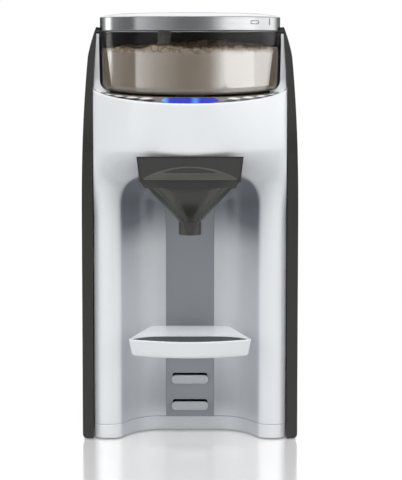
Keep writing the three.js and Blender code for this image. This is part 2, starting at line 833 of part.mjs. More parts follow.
// Dosing wheel, stirrer and the spindle that turns them
function makeDosingDrive() {
  const bore = spindleRadius + fitGap;
  const pockets = [];
  for (let i = 0; i < wheelPockets; i += 1) {
    const angle = -Math.PI / 2 + (i / wheelPockets) * 2 * Math.PI;
    pockets.push(rod(
      pocketRadius, spoutBack * Math.cos(angle), containerY + spoutBack * Math.sin(angle),
      wheelBottom - overrun, wheelTop + overrun,
    ));
  }
  const wheel = ring(wheelRadius, bore, 0, containerY, wheelBottom, wheelTop, wideSides);
  addPart('dosing_wheel', cut(wheel, ...pockets), 'acetal');

  const stirrerBottom = wheelTop + fitGap;
  const armTop = stirrerBottom + armHeight;
  const start = Math.atan2(fingerY, fingerX);
  let arms = ring(hubRadius, bore, 0, 0, stirrerBottom, stirrerBottom + hubHeight, smallSides);
  for (let i = 0; i < armCount; i += 1) {
    const arm = block(
      hubRadius - joinDepth, containerRadius - armMargin, -armWidth / 2, armWidth / 2, stirrerBottom, armTop,
    ).rotateZ(start + (i / armCount) * 2 * Math.PI);
    arms = join(arms, arm);
  }
  const ribStart = armTop - fitGap;
  const ribs = [[0, stirrerBottom + joinDepth], [fingerRadius - fingerRib, stirrerBottom + joinDepth]];
  for (let i = 0; i < fingerRibCount; i += 1) {
    const z = ribStart + i * fingerRibPitch;
    ribs.push([fingerRadius - fingerRib, z], [fingerRadius, z + fingerRibPitch / 2]);
  }
  const fingerTop = ribStart + fingerRibCount * fingerRibPitch;
  ribs.push([fingerRadius - fingerRib, fingerTop], [0, fingerTop]);
  const stirrer = join(arms, turned(ribs, fingerX, fingerY, tinySides));
  addPart('stirrer', stirrer.translate(0, containerY, 0), 'acetal');

  const spindleBottom = gearBottom - gearboxThickness;
  const collarBottom = deckTop + spindleCollarRise;
  const collarOuter = spindleCollarRadius - spindleCollarStep;
  addPart('drive_spindle', turned([
    [0, spindleBottom], [spindleRadius, spindleBottom], [spindleRadius, collarBottom],
    [collarOuter, collarBottom], [collarOuter, collarBottom + spindleCollarHeight],
    [spindleRadius, collarBottom + spindleCollarHeight], [spindleRadius, stirrerBottom + hubHeight / 2],
    [0, stirrerBottom + hubHeight / 2],
  ], 0, containerY, smallSides), 'steel');
}

// Straight-sided teeth on a blank, flanks drawn to leave backlash at the pitch circle
const toothShares = { root: 0.31, pitch: 0.23, tip: 0.13 };
const dedendumShare = 1.25;
const addendumShare = 0.85;

function gear(teeth, x, y, z0, z1, turn) {
  const pitchRadius = gearModule * teeth / 2;
  const levels = [
    [pitchRadius - dedendumShare * gearModule, toothShares.root],
    [pitchRadius, toothShares.pitch],
    [pitchRadius + addendumShare * gearModule, toothShares.tip],
  ];
  const shape = new THREE.Shape();
  const points = [];
  for (let i = 0; i < teeth; i += 1) {
    for (const [radius, share] of levels) points.push([radius, i - share]);
    for (const [radius, share] of [...levels].reverse()) points.push([radius, i + share]);
  }
  shape.setFromPoints(points.map(([radius, place]) => {
    const angle = turn + (place / teeth) * 2 * Math.PI;
    return new THREE.Vector2(radius * Math.cos(angle), radius * Math.sin(angle));
  }));
  return upright(shape, z0, z1).translate(x, y, 0);
}

function makeGearbox() {
  const bore = spindleRadius + fitGap;
  const wheel = gear(
    spindleTeeth, 0, containerY, gearBottom, gearTop, Math.PI / 2 + Math.PI / spindleTeeth,
  );
  const wheelBore = rod(bore, 0, containerY, gearBottom - overrun, gearTop + overrun);
  addPart('spindle_gear', cut(wheel, wheelBore), 'acetal');
  const pinion = gear(pinionTeeth, 0, pinionY, gearBottom, gearTop, -Math.PI / 2);
  const shaft = rod(motorShaftRadius, 0, pinionY, gearboxBottom - overrun, gearBottom + fitGap, tinySides);
  addPart('motor_pinion', join(pinion, shaft), 'steel');

  const front = containerY - gearModule * spindleTeeth / 2 - 2 * gearboxPostRadius;
  const rear = pinionY + motorRadius + gearboxPostRadius;
  const plate = block(-gearboxHalfWidth, gearboxHalfWidth, front, rear, gearboxBottom, gearboxTop);
  const posts = [];
  for (const x of [-1, 1]) {
    for (const y of [front + gearboxPostRadius, rear - gearboxPostRadius]) {
      posts.push(rod(
        gearboxPostRadius, x * (gearboxHalfWidth - gearboxPostRadius), y,
        gearboxBottom + fitGap, deckBottom, tinySides,
      ));
    }
  }
  addPart('gearbox_plate', cut(
    join(plate, ...posts),
    rod(spindleRadius + fitGap, 0, containerY, gearboxBottom - overrun, gearTop),
    rod(motorShaftRadius + fitGap, 0, pinionY, gearboxBottom - overrun, gearTop, tinySides),
  ), 'steel');

  const motorTop = gearboxBottom;
  const motorBottom = motorTop - motorLength;
  addPart('drive_motor', cut(
    turned([
      [0, motorBottom], [motorRadius - motorEdge, motorBottom], [motorRadius, motorBottom + motorEdge],
      [motorRadius, motorTop], [0, motorTop],
    ], 0, pinionY),
    rod(motorShaftRadius + fitGap, 0, pinionY, motorTop - 2 * overrun, motorTop + overrun, tinySides),
  ), 'steel');

  addPart('powder_chute', turned([
    [chuteRadius - chuteWall, ceilingBottom], [chuteRadius, ceilingBottom], [chuteRadius, deckTop],
    [chuteRadius + chuteFlange, deckTop], [chuteRadius + chuteFlange, deckTop + chuteFlangeHeight],
    [chuteRadius, deckTop + chuteFlangeHeight], [chuteRadius, containerBottom - slideGap],
    [chuteRadius - chuteWall, containerBottom - slideGap],
  ], 0, dropY), 'acetal');
}

// Funnel drawer and the dock that it slides into
function makeFunnel() {
  const coneBottom = funnelConeTop - funnelConeHeight;
  const coneRim = funnelConeTop + joinDepth;
  const coneInner = funnelConeRadius - funnelWall;
  const spoutBottom = coneBottom - spoutLength;
  const spoutOuter = spoutRadius - spoutStep;
  const cone = turned([
    [spoutOuter - funnelWall, spoutBottom], [spoutOuter, spoutBottom], [spoutOuter, coneBottom],
    [spoutRadius, coneBottom], [funnelConeRadius, funnelConeTop], [funnelConeRadius, coneRim],
    [coneInner, coneRim], [coneInner, funnelConeTop], [spoutOuter - funnelWall, coneBottom],
  ], 0, 0, wideSides).scale(1, funnelSquash, 1).translate(0, dropY, 0);
  const depth = funnelConeRadius * funnelSquash;
  const frameFront = dropY - depth;
  const frameRear = dropY + depth;
  const plateTop = funnelConeTop + funnelPlateTop;
  const rimTop = frameTop - funnelRimDrop + funnelRimThickness;
  const outer = block(-funnelFrameHalf, funnelFrameHalf, frameFront, frameRear, funnelConeTop, frameTop);
  const rimBottom = rimTop - funnelRimThickness;
  const rim = block(-funnelPlateHalf, funnelPlateHalf, dockFront, frameRear, rimBottom, rimTop);
  const innerHalf = funnelFrameHalf - funnelWall;
  const inner = block(
    -innerHalf, innerHalf, frameFront + funnelWall, frameRear - funnelWall,
    funnelConeTop + funnelWall, frameTop + overrun,
  );
  const mouth = rod(funnelConeRadius - funnelWall, 0, 0, 0, 2 * overrun, wideSides)
    .scale(1, funnelSquash, 1)
    .translate(0, dropY, funnelConeTop - fitGap);
  const plate = alongY(outline([
    [-funnelPlateHalf + funnelPlateTaper, funnelConeTop], [funnelPlateHalf - funnelPlateTaper, funnelConeTop],
    [funnelPlateHalf, plateTop], [-funnelPlateHalf, plateTop],
  ]), frameFront - funnelPlateThickness, frameFront + fitGap);
  const frame = cut(join(outer, rim), inner, mouth);
  addPart('funnel', join(frame, plate, cone), 'darkSmoke');

  const coverEdge = funnelWall / 2;
  const mouthRadius = funnelConeRadius - funnelCoverMargin;
  addPart('funnel_cover', cut(
    block(
      -funnelFrameHalf + coverEdge, funnelFrameHalf - coverEdge, frameFront + slideGap, frameRear - coverEdge,
      frameTop + fitGap, coverTop,
    ),
    rod(1, 0, 0, frameTop - overrun, coverTop + overrun, midSides)
      .scale(mouthRadius, mouthRadius * funnelSquash, 1)
      .translate(0, dropY, 0),
  ), 'clear');

  const lipTop = rimBottom - slideGap;
  const lipBottom = lipTop - dockLip;
  const lipInner = funnelFrameHalf + slideGap;
  const section = outline([
    [-dockOuter, lipBottom], [-lipInner, lipBottom], [-lipInner, lipTop], [-dockInner, lipTop],
    [-dockInner, ceilingBottom], [dockInner, ceilingBottom], [dockInner, lipTop], [lipInner, lipTop],
    [lipInner, lipBottom], [dockOuter, lipBottom], [dockOuter, ceilingTop], [-dockOuter, ceilingTop],
  ]);
  const ceiling = block(-dockOuter, dockOuter, dockCeilingFront, -bayBack, ceilingBottom, ceilingTop);
  addPart('funnel_dock', cut(
    join(alongY(section, dockFront, -bayBack), ceiling),
    rod(chuteRadius + fitGap, 0, dropY, ceilingBottom - overrun, ceilingTop + overrun, midSides),
    rod(nozzleRadius + fitGap, nozzleX, dropY + nozzleBack, ceilingBottom - overrun, ceilingTop + overrun),
  ), 'paleGrey');
}

// Tray with a hooked tongue, its mat, and the slot plate that sets its height
function trayOutline(inset) {
  const arcPoints = [];
  const steps = 10;
  const side = trayHalfWidth - inset;
  for (let i = 0; i <= steps; i += 1) {
    const share = -1 + (2 * i) / steps;
    arcPoints.push([side * share, -trayReach + inset + traySagitta * share ** 2]);
  }
  const back = -trayBack - inset;
  return outline([...arcPoints, [trayBackHalf - inset, back], [-trayBackHalf + inset, back]]);
}

function makeTray() {
  const bottom = trayTop - trayThickness;
  const body = upright(trayOutline(0), bottom, trayTop);
  const hollow = upright(trayOutline(trayWall), bottom - overrun, trayTop - matThickness - trayWall);
  const slotZ = slotFirst + (slotCount - 1) * slotPitch;
  const tongueBottom = slotZ + (slotHeight - tongueThickness) / 2;
  const webRear = -trayBack + tongueThickness;
  const web = block(-tongueHalf, tongueHalf, -trayBack - trayWall, webRear, tongueBottom, trayTop - trayWall);
  const tongue = block(
    -tongueHalf, tongueHalf, webRear - trayWall, -bayBack + shellWall + tongueLength,
    tongueBottom, tongueBottom + tongueThickness,
  );
  const matY = -trayReach + traySagitta / 2 + matRadius + trayWall;
  const matSeat = rod(matRadius + fitGap, 0, matY, trayTop - matThickness, trayTop + overrun, wideSides);
  addPart('bottle_tray', cut(join(cut(body, hollow), web, tongue), matSeat), 'white');
  addPart('tray_mat', rod(
    matRadius, 0, matY, trayTop - matThickness + fitGap, trayTop + fitGap, wideSides,
  ), 'mat');
}

function lozenge(half, z0, z1) {
  const radius = (z1 - z0) / 2;
  return roundedRectangle(-half, half, z0, z1, radius * lipRoundShare);
}

function makeSlotPlate() {
  const front = -bayBack;
  const bottom = skirtTop + seamGap;
  let plate = block(-slotPlateHalf, slotPlateHalf, front, front + shellWall, bottom, slotPlateTop);
  for (let i = 0; i < slotCount; i += 1) {
    const slotZ = slotFirst + i * slotPitch;
    const lip = alongY(lozenge(slotHalf, slotZ - lipHeight, slotZ), front - lipReach, front + fitGap);
    const slot = alongY(
      roundedRectangle(-slotHalf, slotHalf, slotZ, slotZ + slotHeight, slotHeight / 4),
      front - overrun, front + shellWall + overrun,
    );
    plate = cut(join(plate, lip), slot);
  }
  addPart('bay_slot_plate', plate, 'white');
}

// Tank seat with its valve cup, and the tank that lifts out
function makeTank() {
  const tankY = (tankFront + tankRear) / 2;
  const seatFront = dividerFront;
  const plate = block(
    -shellHalf + slideGap, shellHalf - slideGap, seatFront, coverRear - coverThickness,
    seatHeight, seatHeight + seatThickness,
  );
  const cupBottom = seatHeight - seatCupDepth;
  const cup = turned([
    [0, cupBottom], [seatCupRadius, cupBottom], [seatCupRadius, seatHeight + seatThickness / 2],
    [0, seatHeight + seatThickness / 2],
  ], 0, tankY);
  const barb = rod(barbRadius, 0, tankY, cupBottom - barbLength, cupBottom + fitGap, tinySides);
  addPart('tank_seat', cut(
    join(plate, cup, barb),
    rod(seatCupBore, 0, tankY, cupBottom + seatCupFloor, seatHeight + overrun, midSides),
    rod(barbBore, 0, tankY, cupBottom - barbLength - overrun, cupBottom + overrun, tinySides),
  ), 'paleGrey');

  const outer = upright(
    roundedRectangle(-tankHalfWidth, tankHalfWidth, tankFront, tankRear, tankCorner), tankBottom, tankTop,
  );
  const inner = upright(
    roundedRectangle(
      -tankHalfWidth + tankWall, tankHalfWidth - tankWall, tankFront + tankWall, tankRear - tankWall,
      tankCorner - tankWall,
    ), tankBottom + tankWall, tankTop + overrun,
  );
  const spigotBottom = tankBottom - spigotLength;
  const spigot = rod(spigotRadius, 0, tankY, spigotBottom, tankBottom + tankWall, midSides);
  const spigotHole = rod(spigotBore, 0, tankY, spigotBottom - overrun, tankBottom + overrun, midSides);
  const pinZ = tankTop + tankKnuckleRadius;
  const pinY = tankRear - tankKnuckleRadius;
  const ears = [];
  for (const side of [-1, 1]) {
    const x = side * (tankKnuckleHalf + slideGap + tankEarWidth / 2);
    ears.push(block(
      x - tankEarWidth / 2, x + tankEarWidth / 2, pinY - tankKnuckleRadius + knuckleTrim, tankRear,
      tankTop - tankKnuckleRadius, pinZ,
    ));
    ears.push(acrossRod(
      tankKnuckleRadius - knuckleTrim, x - tankEarWidth / 2, x + tankEarWidth / 2, pinY, pinZ, smallSides,
    ));
  }
  const pinReach = tankKnuckleHalf + slideGap + tankEarWidth;
  const holeReach = pinReach + overrun;
  const pinHole = acrossRod(tankPinRadius + fitGap, -holeReach, holeReach, pinY, pinZ, tinySides);
  const shell = cut(join(outer, spigot), inner, spigotHole);
  addPart('water_tank', cut(join(shell, ...ears), pinHole), 'smoke');

  const lidBase = tankTop + fitGap;
  const lidTop = lidBase + tankLidThickness;
  const knuckleFront = pinY - tankKnuckleRadius;
  const lidPlate = upright(
    roundedRectangle(-tankHalfWidth, tankHalfWidth, tankFront, knuckleFront - slideGap, tankCorner),
    lidBase, lidTop,
  );
  const arm = block(-tankKnuckleHalf, tankKnuckleHalf, knuckleFront - knuckleRoot, pinY, lidBase, lidTop);
  const knuckle = acrossRod(
    tankKnuckleRadius - knuckleTrim, -tankKnuckleHalf, tankKnuckleHalf, pinY, pinZ, smallSides,
  );
  addPart('tank_lid', cut(join(lidPlate, arm, knuckle), pinHole), 'darkPanel');
  addPart('tank_hinge_pin', acrossRod(tankPinRadius, -pinReach, pinReach, pinY, pinZ, tinySides), 'steel');

  const headBottom = tankBottom + tankWall + valveLift;
  const headTop = headBottom + valveHeadHeight;
  const stemBottom = cupBottom + seatCupFloor + slideGap;
  addPart('tank_valve', turned([
    [0, stemBottom], [valveStemRadius, stemBottom], [valveStemRadius, headBottom],
    [valveHeadRadius, headBottom], [valveHeadRadius, headTop], [0, headTop],
  ], 0, tankY, smallSides), 'acetal');
  const gasketBottom = spigotBottom + fitGap;
  addPart('valve_gasket', ring(
    seatCupBore - slideGap, spigotRadius + fitGap, 0, tankY, gasketBottom, gasketBottom + gasketHeight,
  ), 'rubber');
}

// A rod along X
function acrossRod(radius, x0, x1, y, z, sides) {
  return new THREE.CylinderGeometry(radius, radius, x1 - x0, sides)
    .rotateZ(Math.PI / 2)
    .translate((x0 + x1) / 2, y, z);
}

// Pump, heater and hoses in the rear of the body
function hose(points) {
  const path = new THREE.CatmullRomCurve3(points.map((point) => new THREE.Vector3(...point)));
  const section = new THREE.Shape();
  section.absarc(0, 0, hoseRadius, 0, 2 * Math.PI, false);
  const bore = new THREE.Path();
  bore.absarc(0, 0, hoseBore, 0, 2 * Math.PI, true);
  section.holes.push(bore);
  return new THREE.ExtrudeGeometry(section, {
    steps: hoseSteps, extrudePath: path, curveSegments: hoseSides / 2,
  });
}

function makeWaterPath() {
  const tankY = (tankFront + tankRear) / 2;
  const pumpZ = basePlateTop + fitGap + pumpRadius;
  const pumpTop = pumpZ + pumpRadius;
  const barbBottom = seatHeight - seatCupDepth - barbLength;
  const inletX = pumpX - pumpLength / 4;
  const outletX = pumpX + pumpLength / 4;
  const body = acrossRod(pumpRadius, pumpX - pumpLength / 2, pumpX + pumpLength / 2, pumpY, pumpZ, midSides);
  const ports = [inletX, outletX].map((x) => rod(
    pumpPortRadius, x, pumpY, pumpZ, pumpTop + pumpPortLength, tinySides,
  ));
  addPart('water_pump', join(body, ...ports), 'black');

  const heaterBottom = basePlateTop + fitGap;
  const heaterTop = heaterBottom + heaterHeight;
  const heaterPorts = [heaterY + heaterRadius / 2, heaterY - heaterRadius / 2].map((y) => rod(
    pumpPortRadius, heaterX, y, heaterTop - fitGap, heaterTop + pumpPortLength, tinySides,
  ));
  addPart('water_heater', join(turned([
    [0, heaterBottom], [heaterRadius + heaterFlange, heaterBottom],
    [heaterRadius + heaterFlange, heaterBottom + heaterFlange], [heaterRadius, heaterBottom + heaterFlange],
    [heaterRadius, heaterTop], [0, heaterTop],
  ], heaterX, heaterY), ...heaterPorts), 'steel');

  const portTop = pumpTop + pumpPortLength + fitGap;
  const heaterPortTop = heaterTop + pumpPortLength + fitGap;
  addPart('tank_hose', hose([
    [0, tankY, barbBottom - fitGap], [0, tankY, barbBottom - 4 * hoseRadius],
    [inletX, pumpY, portTop + 4 * hoseRadius], [inletX, pumpY, portTop],
  ]), 'clear');
  addPart('pump_hose', hose([
    [outletX, pumpY, portTop], [outletX, pumpY, portTop + 4 * hoseRadius],
    [heaterX, heaterY + heaterRadius / 2, heaterPortTop + 4 * hoseRadius],
    [heaterX, heaterY + heaterRadius / 2, heaterPortTop],
  ]), 'clear');

  const nozzleY = dropY + nozzleBack;
  const nozzleBottom = ceilingBottom;
  const nozzleTop = nozzleBottom + nozzleLength;
  addPart('water_nozzle', turned([
    [nozzleBore, nozzleBottom], [nozzleRadius, nozzleBottom], [nozzleRadius, ceilingTop + fitGap],
    [nozzleRadius + nozzleFlange, ceilingTop + fitGap],
    [nozzleRadius + nozzleFlange, ceilingTop + nozzleFlange],
    [nozzleRadius, ceilingTop + nozzleFlange], [nozzleRadius, nozzleTop], [nozzleBore, nozzleTop],
  ], nozzleX, nozzleY, smallSides), 'acetal');
  addPart('nozzle_hose', hose([
    [heaterX, heaterY - heaterRadius / 2, heaterPortTop],
    [heaterX, heaterY - heaterRadius / 2, heaterPortTop + 4 * hoseRadius],
    [heaterX, dividerFront - 3 * hoseRadius, seatHeight - 5 * hoseRadius],
    [gearboxHalfWidth, -bayBack + 6 * hoseRadius, ceilingTop + 2 * hoseRadius],
    [nozzleX, nozzleY, nozzleTop + 3 * hoseRadius],
    [nozzleX, nozzleY, nozzleTop + fitGap],
  ]), 'clear');

  const boardBottom = basePlateTop + fitGap;
  const boardX0 = powerBoardX - powerBoardWidth / 2;
  const board = block(
    boardX0, boardX0 + powerBoardWidth, powerBoardY, powerBoardY + boardThickness,
    boardBottom, boardBottom + powerBoardHeight,
  );
  const transformerX = boardX0 + transformerInset;
  const transformerZ = boardBottom + transformerInset;
  const transformer = block(
    transformerX, transformerX + transformerSide, powerBoardY - transformerDepth, powerBoardY + fitGap,
    transformerZ, transformerZ + transformerSide,
  );
  const relayZ = boardBottom + relayRise;
  const relay = block(
    powerBoardX, powerBoardX + relayWidth, powerBoardY - relayDepth, powerBoardY + fitGap,
    relayZ, relayZ + relayHeight,
  );
  addPart('power_board', join(board, transformer, relay), 'board');
}

// Control panel on the right side: bezel, display window, buttons and the board behind them
function bezelOutline(margin) {
  return roundedRectangle(
    bezelY - bezelWidth / 2 - margin, bezelY + bezelWidth / 2 + margin,
    panelBezelBottom - margin, panelBezelBottom + bezelHeight + margin, bezelCorner + margin,
  );
}

function makeControls() {
  const face = halfWidth - bezelRecess;
  const back = face - bezelThickness;
  const midZ = panelBezelBottom + bezelHeight / 2;
  const displayZ = midZ + displayRise;
  const boardOuter = shellHalf - slideGap;
  const displayPlace = (inner, outer, margin) => block(
    inner, outer, bezelY - displayWidth / 2 + margin, bezelY + displayWidth / 2 - margin,
    displayZ - displayHeight / 2 + margin, displayZ + displayHeight / 2 - margin,
  );
  const displayCut = displayPlace(face - displayThickness, face + overrun, 0);
  const buttons = [
    ['power_button', -buttonPitch, buttonUpperRow],
    ['start_button', buttonPitch, buttonUpperRow],
    ['minus_button', -buttonPitch, buttonLowerRow],
    ['temperature_button', 0, buttonLowerRow],
    ['plus_button', buttonPitch, buttonLowerRow],
  ];
  const holes = buttons.map(([, y, z]) => acrossRod(
    buttonRadius + slideGap, back - overrun, face + overrun, bezelY + y, midZ + z, smallSides,
  ));
  const posts = [];
  for (const y of [-1, 1]) {
    for (const z of [-1, 1]) {
      posts.push(acrossRod(
        postRadius, boardOuter, back + fitGap,
        bezelY + y * (bezelWidth / 2 - bezelCorner), midZ + z * (bezelHeight / 2 - bezelCorner), tinySides,
      ));
    }
  }
  const slab = alongX(bezelOutline(0), back, face);
  addPart('control_bezel', cut(join(slab, ...posts), displayCut, ...holes), 'black');
  const display = displayPlace(face - displayThickness + fitGap, face, fitGap);
  addPart('display_window', display, 'darkSmoke');
  for (const [name, y, z] of buttons) {
    const outer = face + buttonProud;
    const inner = outer - buttonLength;
    const cap = acrossRod(buttonRadius, inner, outer, bezelY + y, midZ + z, smallSides);
    const flange = acrossRod(
      buttonRadius + buttonFlange, inner, inner + buttonFlange, bezelY + y, midZ + z, smallSides,
    );
    addPart(name, join(cap, flange), 'paleGrey');
  }
  addPart('control_board', block(
    boardOuter - boardThickness, boardOuter, bezelY - bezelWidth / 2 + boardMargin,
    bezelY + bezelWidth / 2 - boardMargin, panelBezelBottom + boardMargin,
    panelBezelBottom + bezelHeight - boardMargin,
  ), 'board');
}

makeFrontShell();
makeBaseSkirt();
makeSidePanels();
makeBase();
makeRear();
makeCradle();
makeCollar();
makeContainer();
makeLid();
makeDosingDrive();
makeGearbox();
makeFunnel();
makeTray();
makeSlotPlate();
makeTank();
makeWaterPath();
makeControls();

export default machine;
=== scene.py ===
import json
import math
import bmesh
import bpy
from mathutils import Matrix, Vector, noise


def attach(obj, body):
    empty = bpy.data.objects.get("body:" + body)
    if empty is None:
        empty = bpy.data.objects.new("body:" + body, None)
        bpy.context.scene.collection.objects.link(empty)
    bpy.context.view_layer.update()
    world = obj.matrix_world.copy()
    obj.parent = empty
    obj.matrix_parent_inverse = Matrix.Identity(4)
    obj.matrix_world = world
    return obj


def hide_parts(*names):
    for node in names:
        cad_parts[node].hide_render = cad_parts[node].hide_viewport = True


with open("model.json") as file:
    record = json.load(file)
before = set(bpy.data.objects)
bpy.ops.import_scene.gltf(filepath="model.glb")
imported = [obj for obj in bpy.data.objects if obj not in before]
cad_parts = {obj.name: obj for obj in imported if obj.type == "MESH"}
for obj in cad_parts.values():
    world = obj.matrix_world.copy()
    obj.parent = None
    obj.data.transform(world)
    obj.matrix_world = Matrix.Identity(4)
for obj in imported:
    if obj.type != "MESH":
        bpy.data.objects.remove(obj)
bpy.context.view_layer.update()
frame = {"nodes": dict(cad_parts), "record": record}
nodes = frame["nodes"]
bodyOf = {
    node: body
    for body, members in frame["record"]["behaviour"]["bodies"].items()
    for node in members
}
print("frame loaded:", len(nodes), "nodes")


# Shader maths: a value from one node that takes plain arithmetic
class Value:
    def __init__(self, finish, socket):
        self.finish = finish
        self.socket = socket

    def math(self, operation, *values):
        return self.finish.node("Math", {"operation": operation}, dict(enumerate(values)))

    def __add__(self, other):
        return self.math("ADD", self, other)

    def __radd__(self, other):
        return self.math("ADD", other, self)

    def __sub__(self, other):
        return self.math("SUBTRACT", self, other)

    def __rsub__(self, other):
        return self.math("SUBTRACT", other, self)

    def __mul__(self, other):
        return self.math("MULTIPLY", self, other)

    def __rmul__(self, other):
        return self.math("MULTIPLY", other, self)

    def __truediv__(self, other):
        return self.math("DIVIDE", self, other)

    def __pow__(self, other):
        return self.math("POWER", self, other)

    def absolute(self):
        return self.math("ABSOLUTE", self)

    def below(self, limit, softness):
        # 1 well under the limit, 0 well over it, with a soft step between
        return self.finish.node(
            "MapRange", {"interpolation_type": "SMOOTHSTEP"},
            {"Value": self, "From Min": limit - softness, "From Max": limit + softness,
             "To Min": 1.0, "To Max": 0.0},
        )


# One finish: a material or the world, and the few nodes that every finish starts from
class Finish:
    def __init__(self, name, world=None):
        self.material = world or bpy.data.materials.new(name)
        self.material.use_nodes = True
        self.tree = self.material.node_tree
        self.tree.nodes.clear()

    def node(self, kind, settings=None, sockets=None, out=0):
        made = self.tree.nodes.new("ShaderNode" + kind)
        for name, value in (settings or {}).items():
            if name == "stops":
                self.setStops(made.color_ramp, value)
            else:
                setattr(made, name, value)
        for name, value in (sockets or {}).items():
            if isinstance(value, Value):
                self.tree.links.new(value.socket, made.inputs[name])
            else:
                made.inputs[name].default_value = value
        return Value(self, made.outputs[out]) if made.outputs else None

    def setStops(self, ramp, stops):
        ramp.elements[0].position = stops[0][0]
        ramp.elements[1].position = stops[-1][0]
        for place, _ in stops[1:-1]:
            ramp.elements.new(place)
        for element, (place, colour) in zip(ramp.elements, stops):
            element.position = place
            element.color = colour

    def place(self, centre=(0, 0, 0), scale=(1, 1, 1)):
        # the point on the piece, in metres, from a centre and stretched
        spot = self.node("TexCoord", out="Object")
        return self.node(
            "Mapping", None,
            {"Vector": spot, "Location": [-c * s for c, s in zip(centre, scale)], "Scale": scale},
        )

    def noise(self, scale, detail, place=None):
        return self.node(
            "TexNoise", None, {"Vector": place or self.place(), "Scale": scale, "Detail": detail})

    def blend(self, factor, first, second):
        return self.node("Mix", {"data_type": "RGBA"}, {0: factor, 6: first, 7: second}, out=2)

    def bump(self, height, distance, strength=1.0):
        return self.node("Bump", None, {"Height": height, "Distance": distance, "Strength": strength})

    def axes(self, place=None):
        split = self.node("SeparateXYZ", None, {0: place or self.place()})
        outputs = split.socket.node.outputs
        return [Value(self, outputs[i]) for i in range(3)]

    def share(self, name):
        # a share that the mesh carries in its own attribute
        return self.node("Attribute", {"attribute_name": name}, out="Fac")

    def seenBy(self, *rays):
        # 1 on the named kinds of light path, 0 on the others
        outputs = self.node("LightPath").socket.node.outputs
        seen = sum(Value(self, outputs[ray]) for ray in rays)
        return seen.math("MINIMUM", seen, 1.0)

    def facing(self):
        # 0 where the surface faces the eye, 1 where it turns away
        return self.node("LayerWeight", None, {"Blend": 0.35}, out="Facing")

    def hazed(self, colour):
        # what all see-through plastic shares: a haze, a tone that drifts with it and a slow ripple
        haze = self.noise(45, 3)
        flow = self.noise(14, 1, self.place(scale=(1, 1, 0.3)))
        tones = self.blend(haze, shaded(colour, 0.95), shaded(colour, 1.05))
        return (haze - 0.5) * 0.03, haze, tones, self.bump(flow, 0.00008)

    def surface(self, sockets):
        shader = self.node("BsdfPrincipled", None, sockets)
        self.node("OutputMaterial", None, {"Surface": shader})
        return self.material


def tone(red, green, blue):
    # a screen colour, 0 to 255, as the linear colour that shaders take
    parts = [c / 255 for c in (red, green, blue)]
    return tuple(c / 12.92 if c < 0.04 else ((c + 0.055) / 1.055) ** 2.4 for c in parts) + (1.0,)


def shaded(colour, share):
    return tuple(c * share for c in colour[:3]) + (1.0,)


# Moulded plastic: slow drift of tone, fine grain in the gloss and a faint ripple
def moulded(name, colour, rough, drift, grain, relief, ripple=0.00004, own=None, second=None):
    made = Finish(name)
    cloud = made.noise(28, 2)
    speck = made.noise(grain, 3)
    flow = made.noise(9, 1, made.place(scale=(1, 1, 0.4)))
    base = made.blend(cloud, shaded(colour, 1 - drift), shaded(colour, 1 + drift * 0.5))
    # an optional second colour through a mesh attribute; on the white shell it carries the bay's tone and
    # painted shade
    if second:
        base = made.blend(made.share(second[0]), base, second[1])
    return made.surface({
        "Base Color": base,
        "Roughness": (speck - 0.5) * 0.06 + (cloud - 0.5) * 0.04 + rough,
        "Normal": made.bump(speck * relief + flow * ripple, 1.0),
        **(own or {}),
    })


# Brushed film on the lid: fine rings of scratches about an upright line, on one silver film painted in three
# tones: a bright sloping rim on top, less metallic, as a painted highlight, a darker side band as painted
# shade, and a plain brushed disc inside the rim in between
lidFilmPaintedLight = dict(
    crownFrom=0.3714, crownSoft=0.0003, discRadius=0.0655, discSoft=0.0012, rough=0.16, metal=0.95,
    side=(129, 130, 131), rim=(232, 233, 235), disc=(198, 199, 201),
)


def brushedFilm(name, centre):
    made = Finish(name)
    film = lidFilmPaintedLight
    x, y, z = made.axes(made.place(centre=centre))
    top = 1.0 - z.below(film["crownFrom"], film["crownSoft"])
    radius = (x * x + y * y) ** 0.5
    around = made.node("CombineXYZ", None, {0: radius * 1000, 1: 0.0, 2: z * 1000})
    streak = made.noise(0.9, 2, around) * 0.4 + made.noise(4.2, 3, around) * 0.6
    worn = made.noise(40, 3)
    inner = radius.below(film["discRadius"], film["discSoft"])
    # lit and shaded copies of one silver tone: painted shade on the side band, painted highlight on the rim
    side, rim, disc = [
        made.blend(streak, shaded(tone(*film[part]), dark), shaded(tone(*film[part]), light))
        for part, dark, light in (("side", 0.72, 1.2), ("rim", 0.9, 1.0), ("disc", 0.82, 1.0))
    ]
    return made.surface({
        "Base Color": made.blend(top, side, made.blend(inner, rim, disc)),
        "Metallic": film["metal"] - top * (1.0 - inner) * 0.5,
        "Roughness": film["rough"] + (streak - 0.5) * 0.16 + (worn - 0.5) * 0.05,
        "Normal": made.bump(streak, 0.00005),
    })


# Plain turned steel with a fine all-round grain
def machinedSteel(name, colour, rough):
    made = Finish(name)
    grain = made.noise(900, 4, made.place(scale=(1, 1, 6)))
    cloud = made.noise(70, 2)
    return made.surface({
        "Base Color": made.blend(grain * 0.6 + cloud * 0.4, shaded(colour, 0.7), shaded(colour, 1.15)),
        "Metallic": 1.0, "Roughness": rough + (grain - 0.5) * 0.2, "Normal": made.bump(grain, 0.00002),
    })


# Rubber and silicone: matt, with a fine pebble and a dusty drift
def softRubber(name, colour, rough, pebble=1100, relief=0.00006):
    made = Finish(name)
    grit = made.node("TexVoronoi", None, {"Vector": made.place(), "Scale": pebble})
    dust = made.noise(60, 3)
    return made.surface({
        "Base Color": made.blend(dust, shaded(colour, 0.85), shaded(colour, 1.25)),
        "Roughness": rough + (dust - 0.5) * 0.12,
        "Normal": made.bump(grit, relief), "Specular IOR Level": 0.35,
    })


# See-through plastic: clearer face on, thicker towards its edges
def tinted(name, colour, face, edge, rough=0.04):
    made = Finish(name)
    turn = made.facing()
    stir, _, tones, ripple = made.hazed(colour)
    return made.surface({
        "Base Color": tones, "Roughness": rough + stir,
        "Alpha": face + (turn ** 2.5) * (edge - face) + stir, "Normal": ripple, "IOR": 1.49,
    })
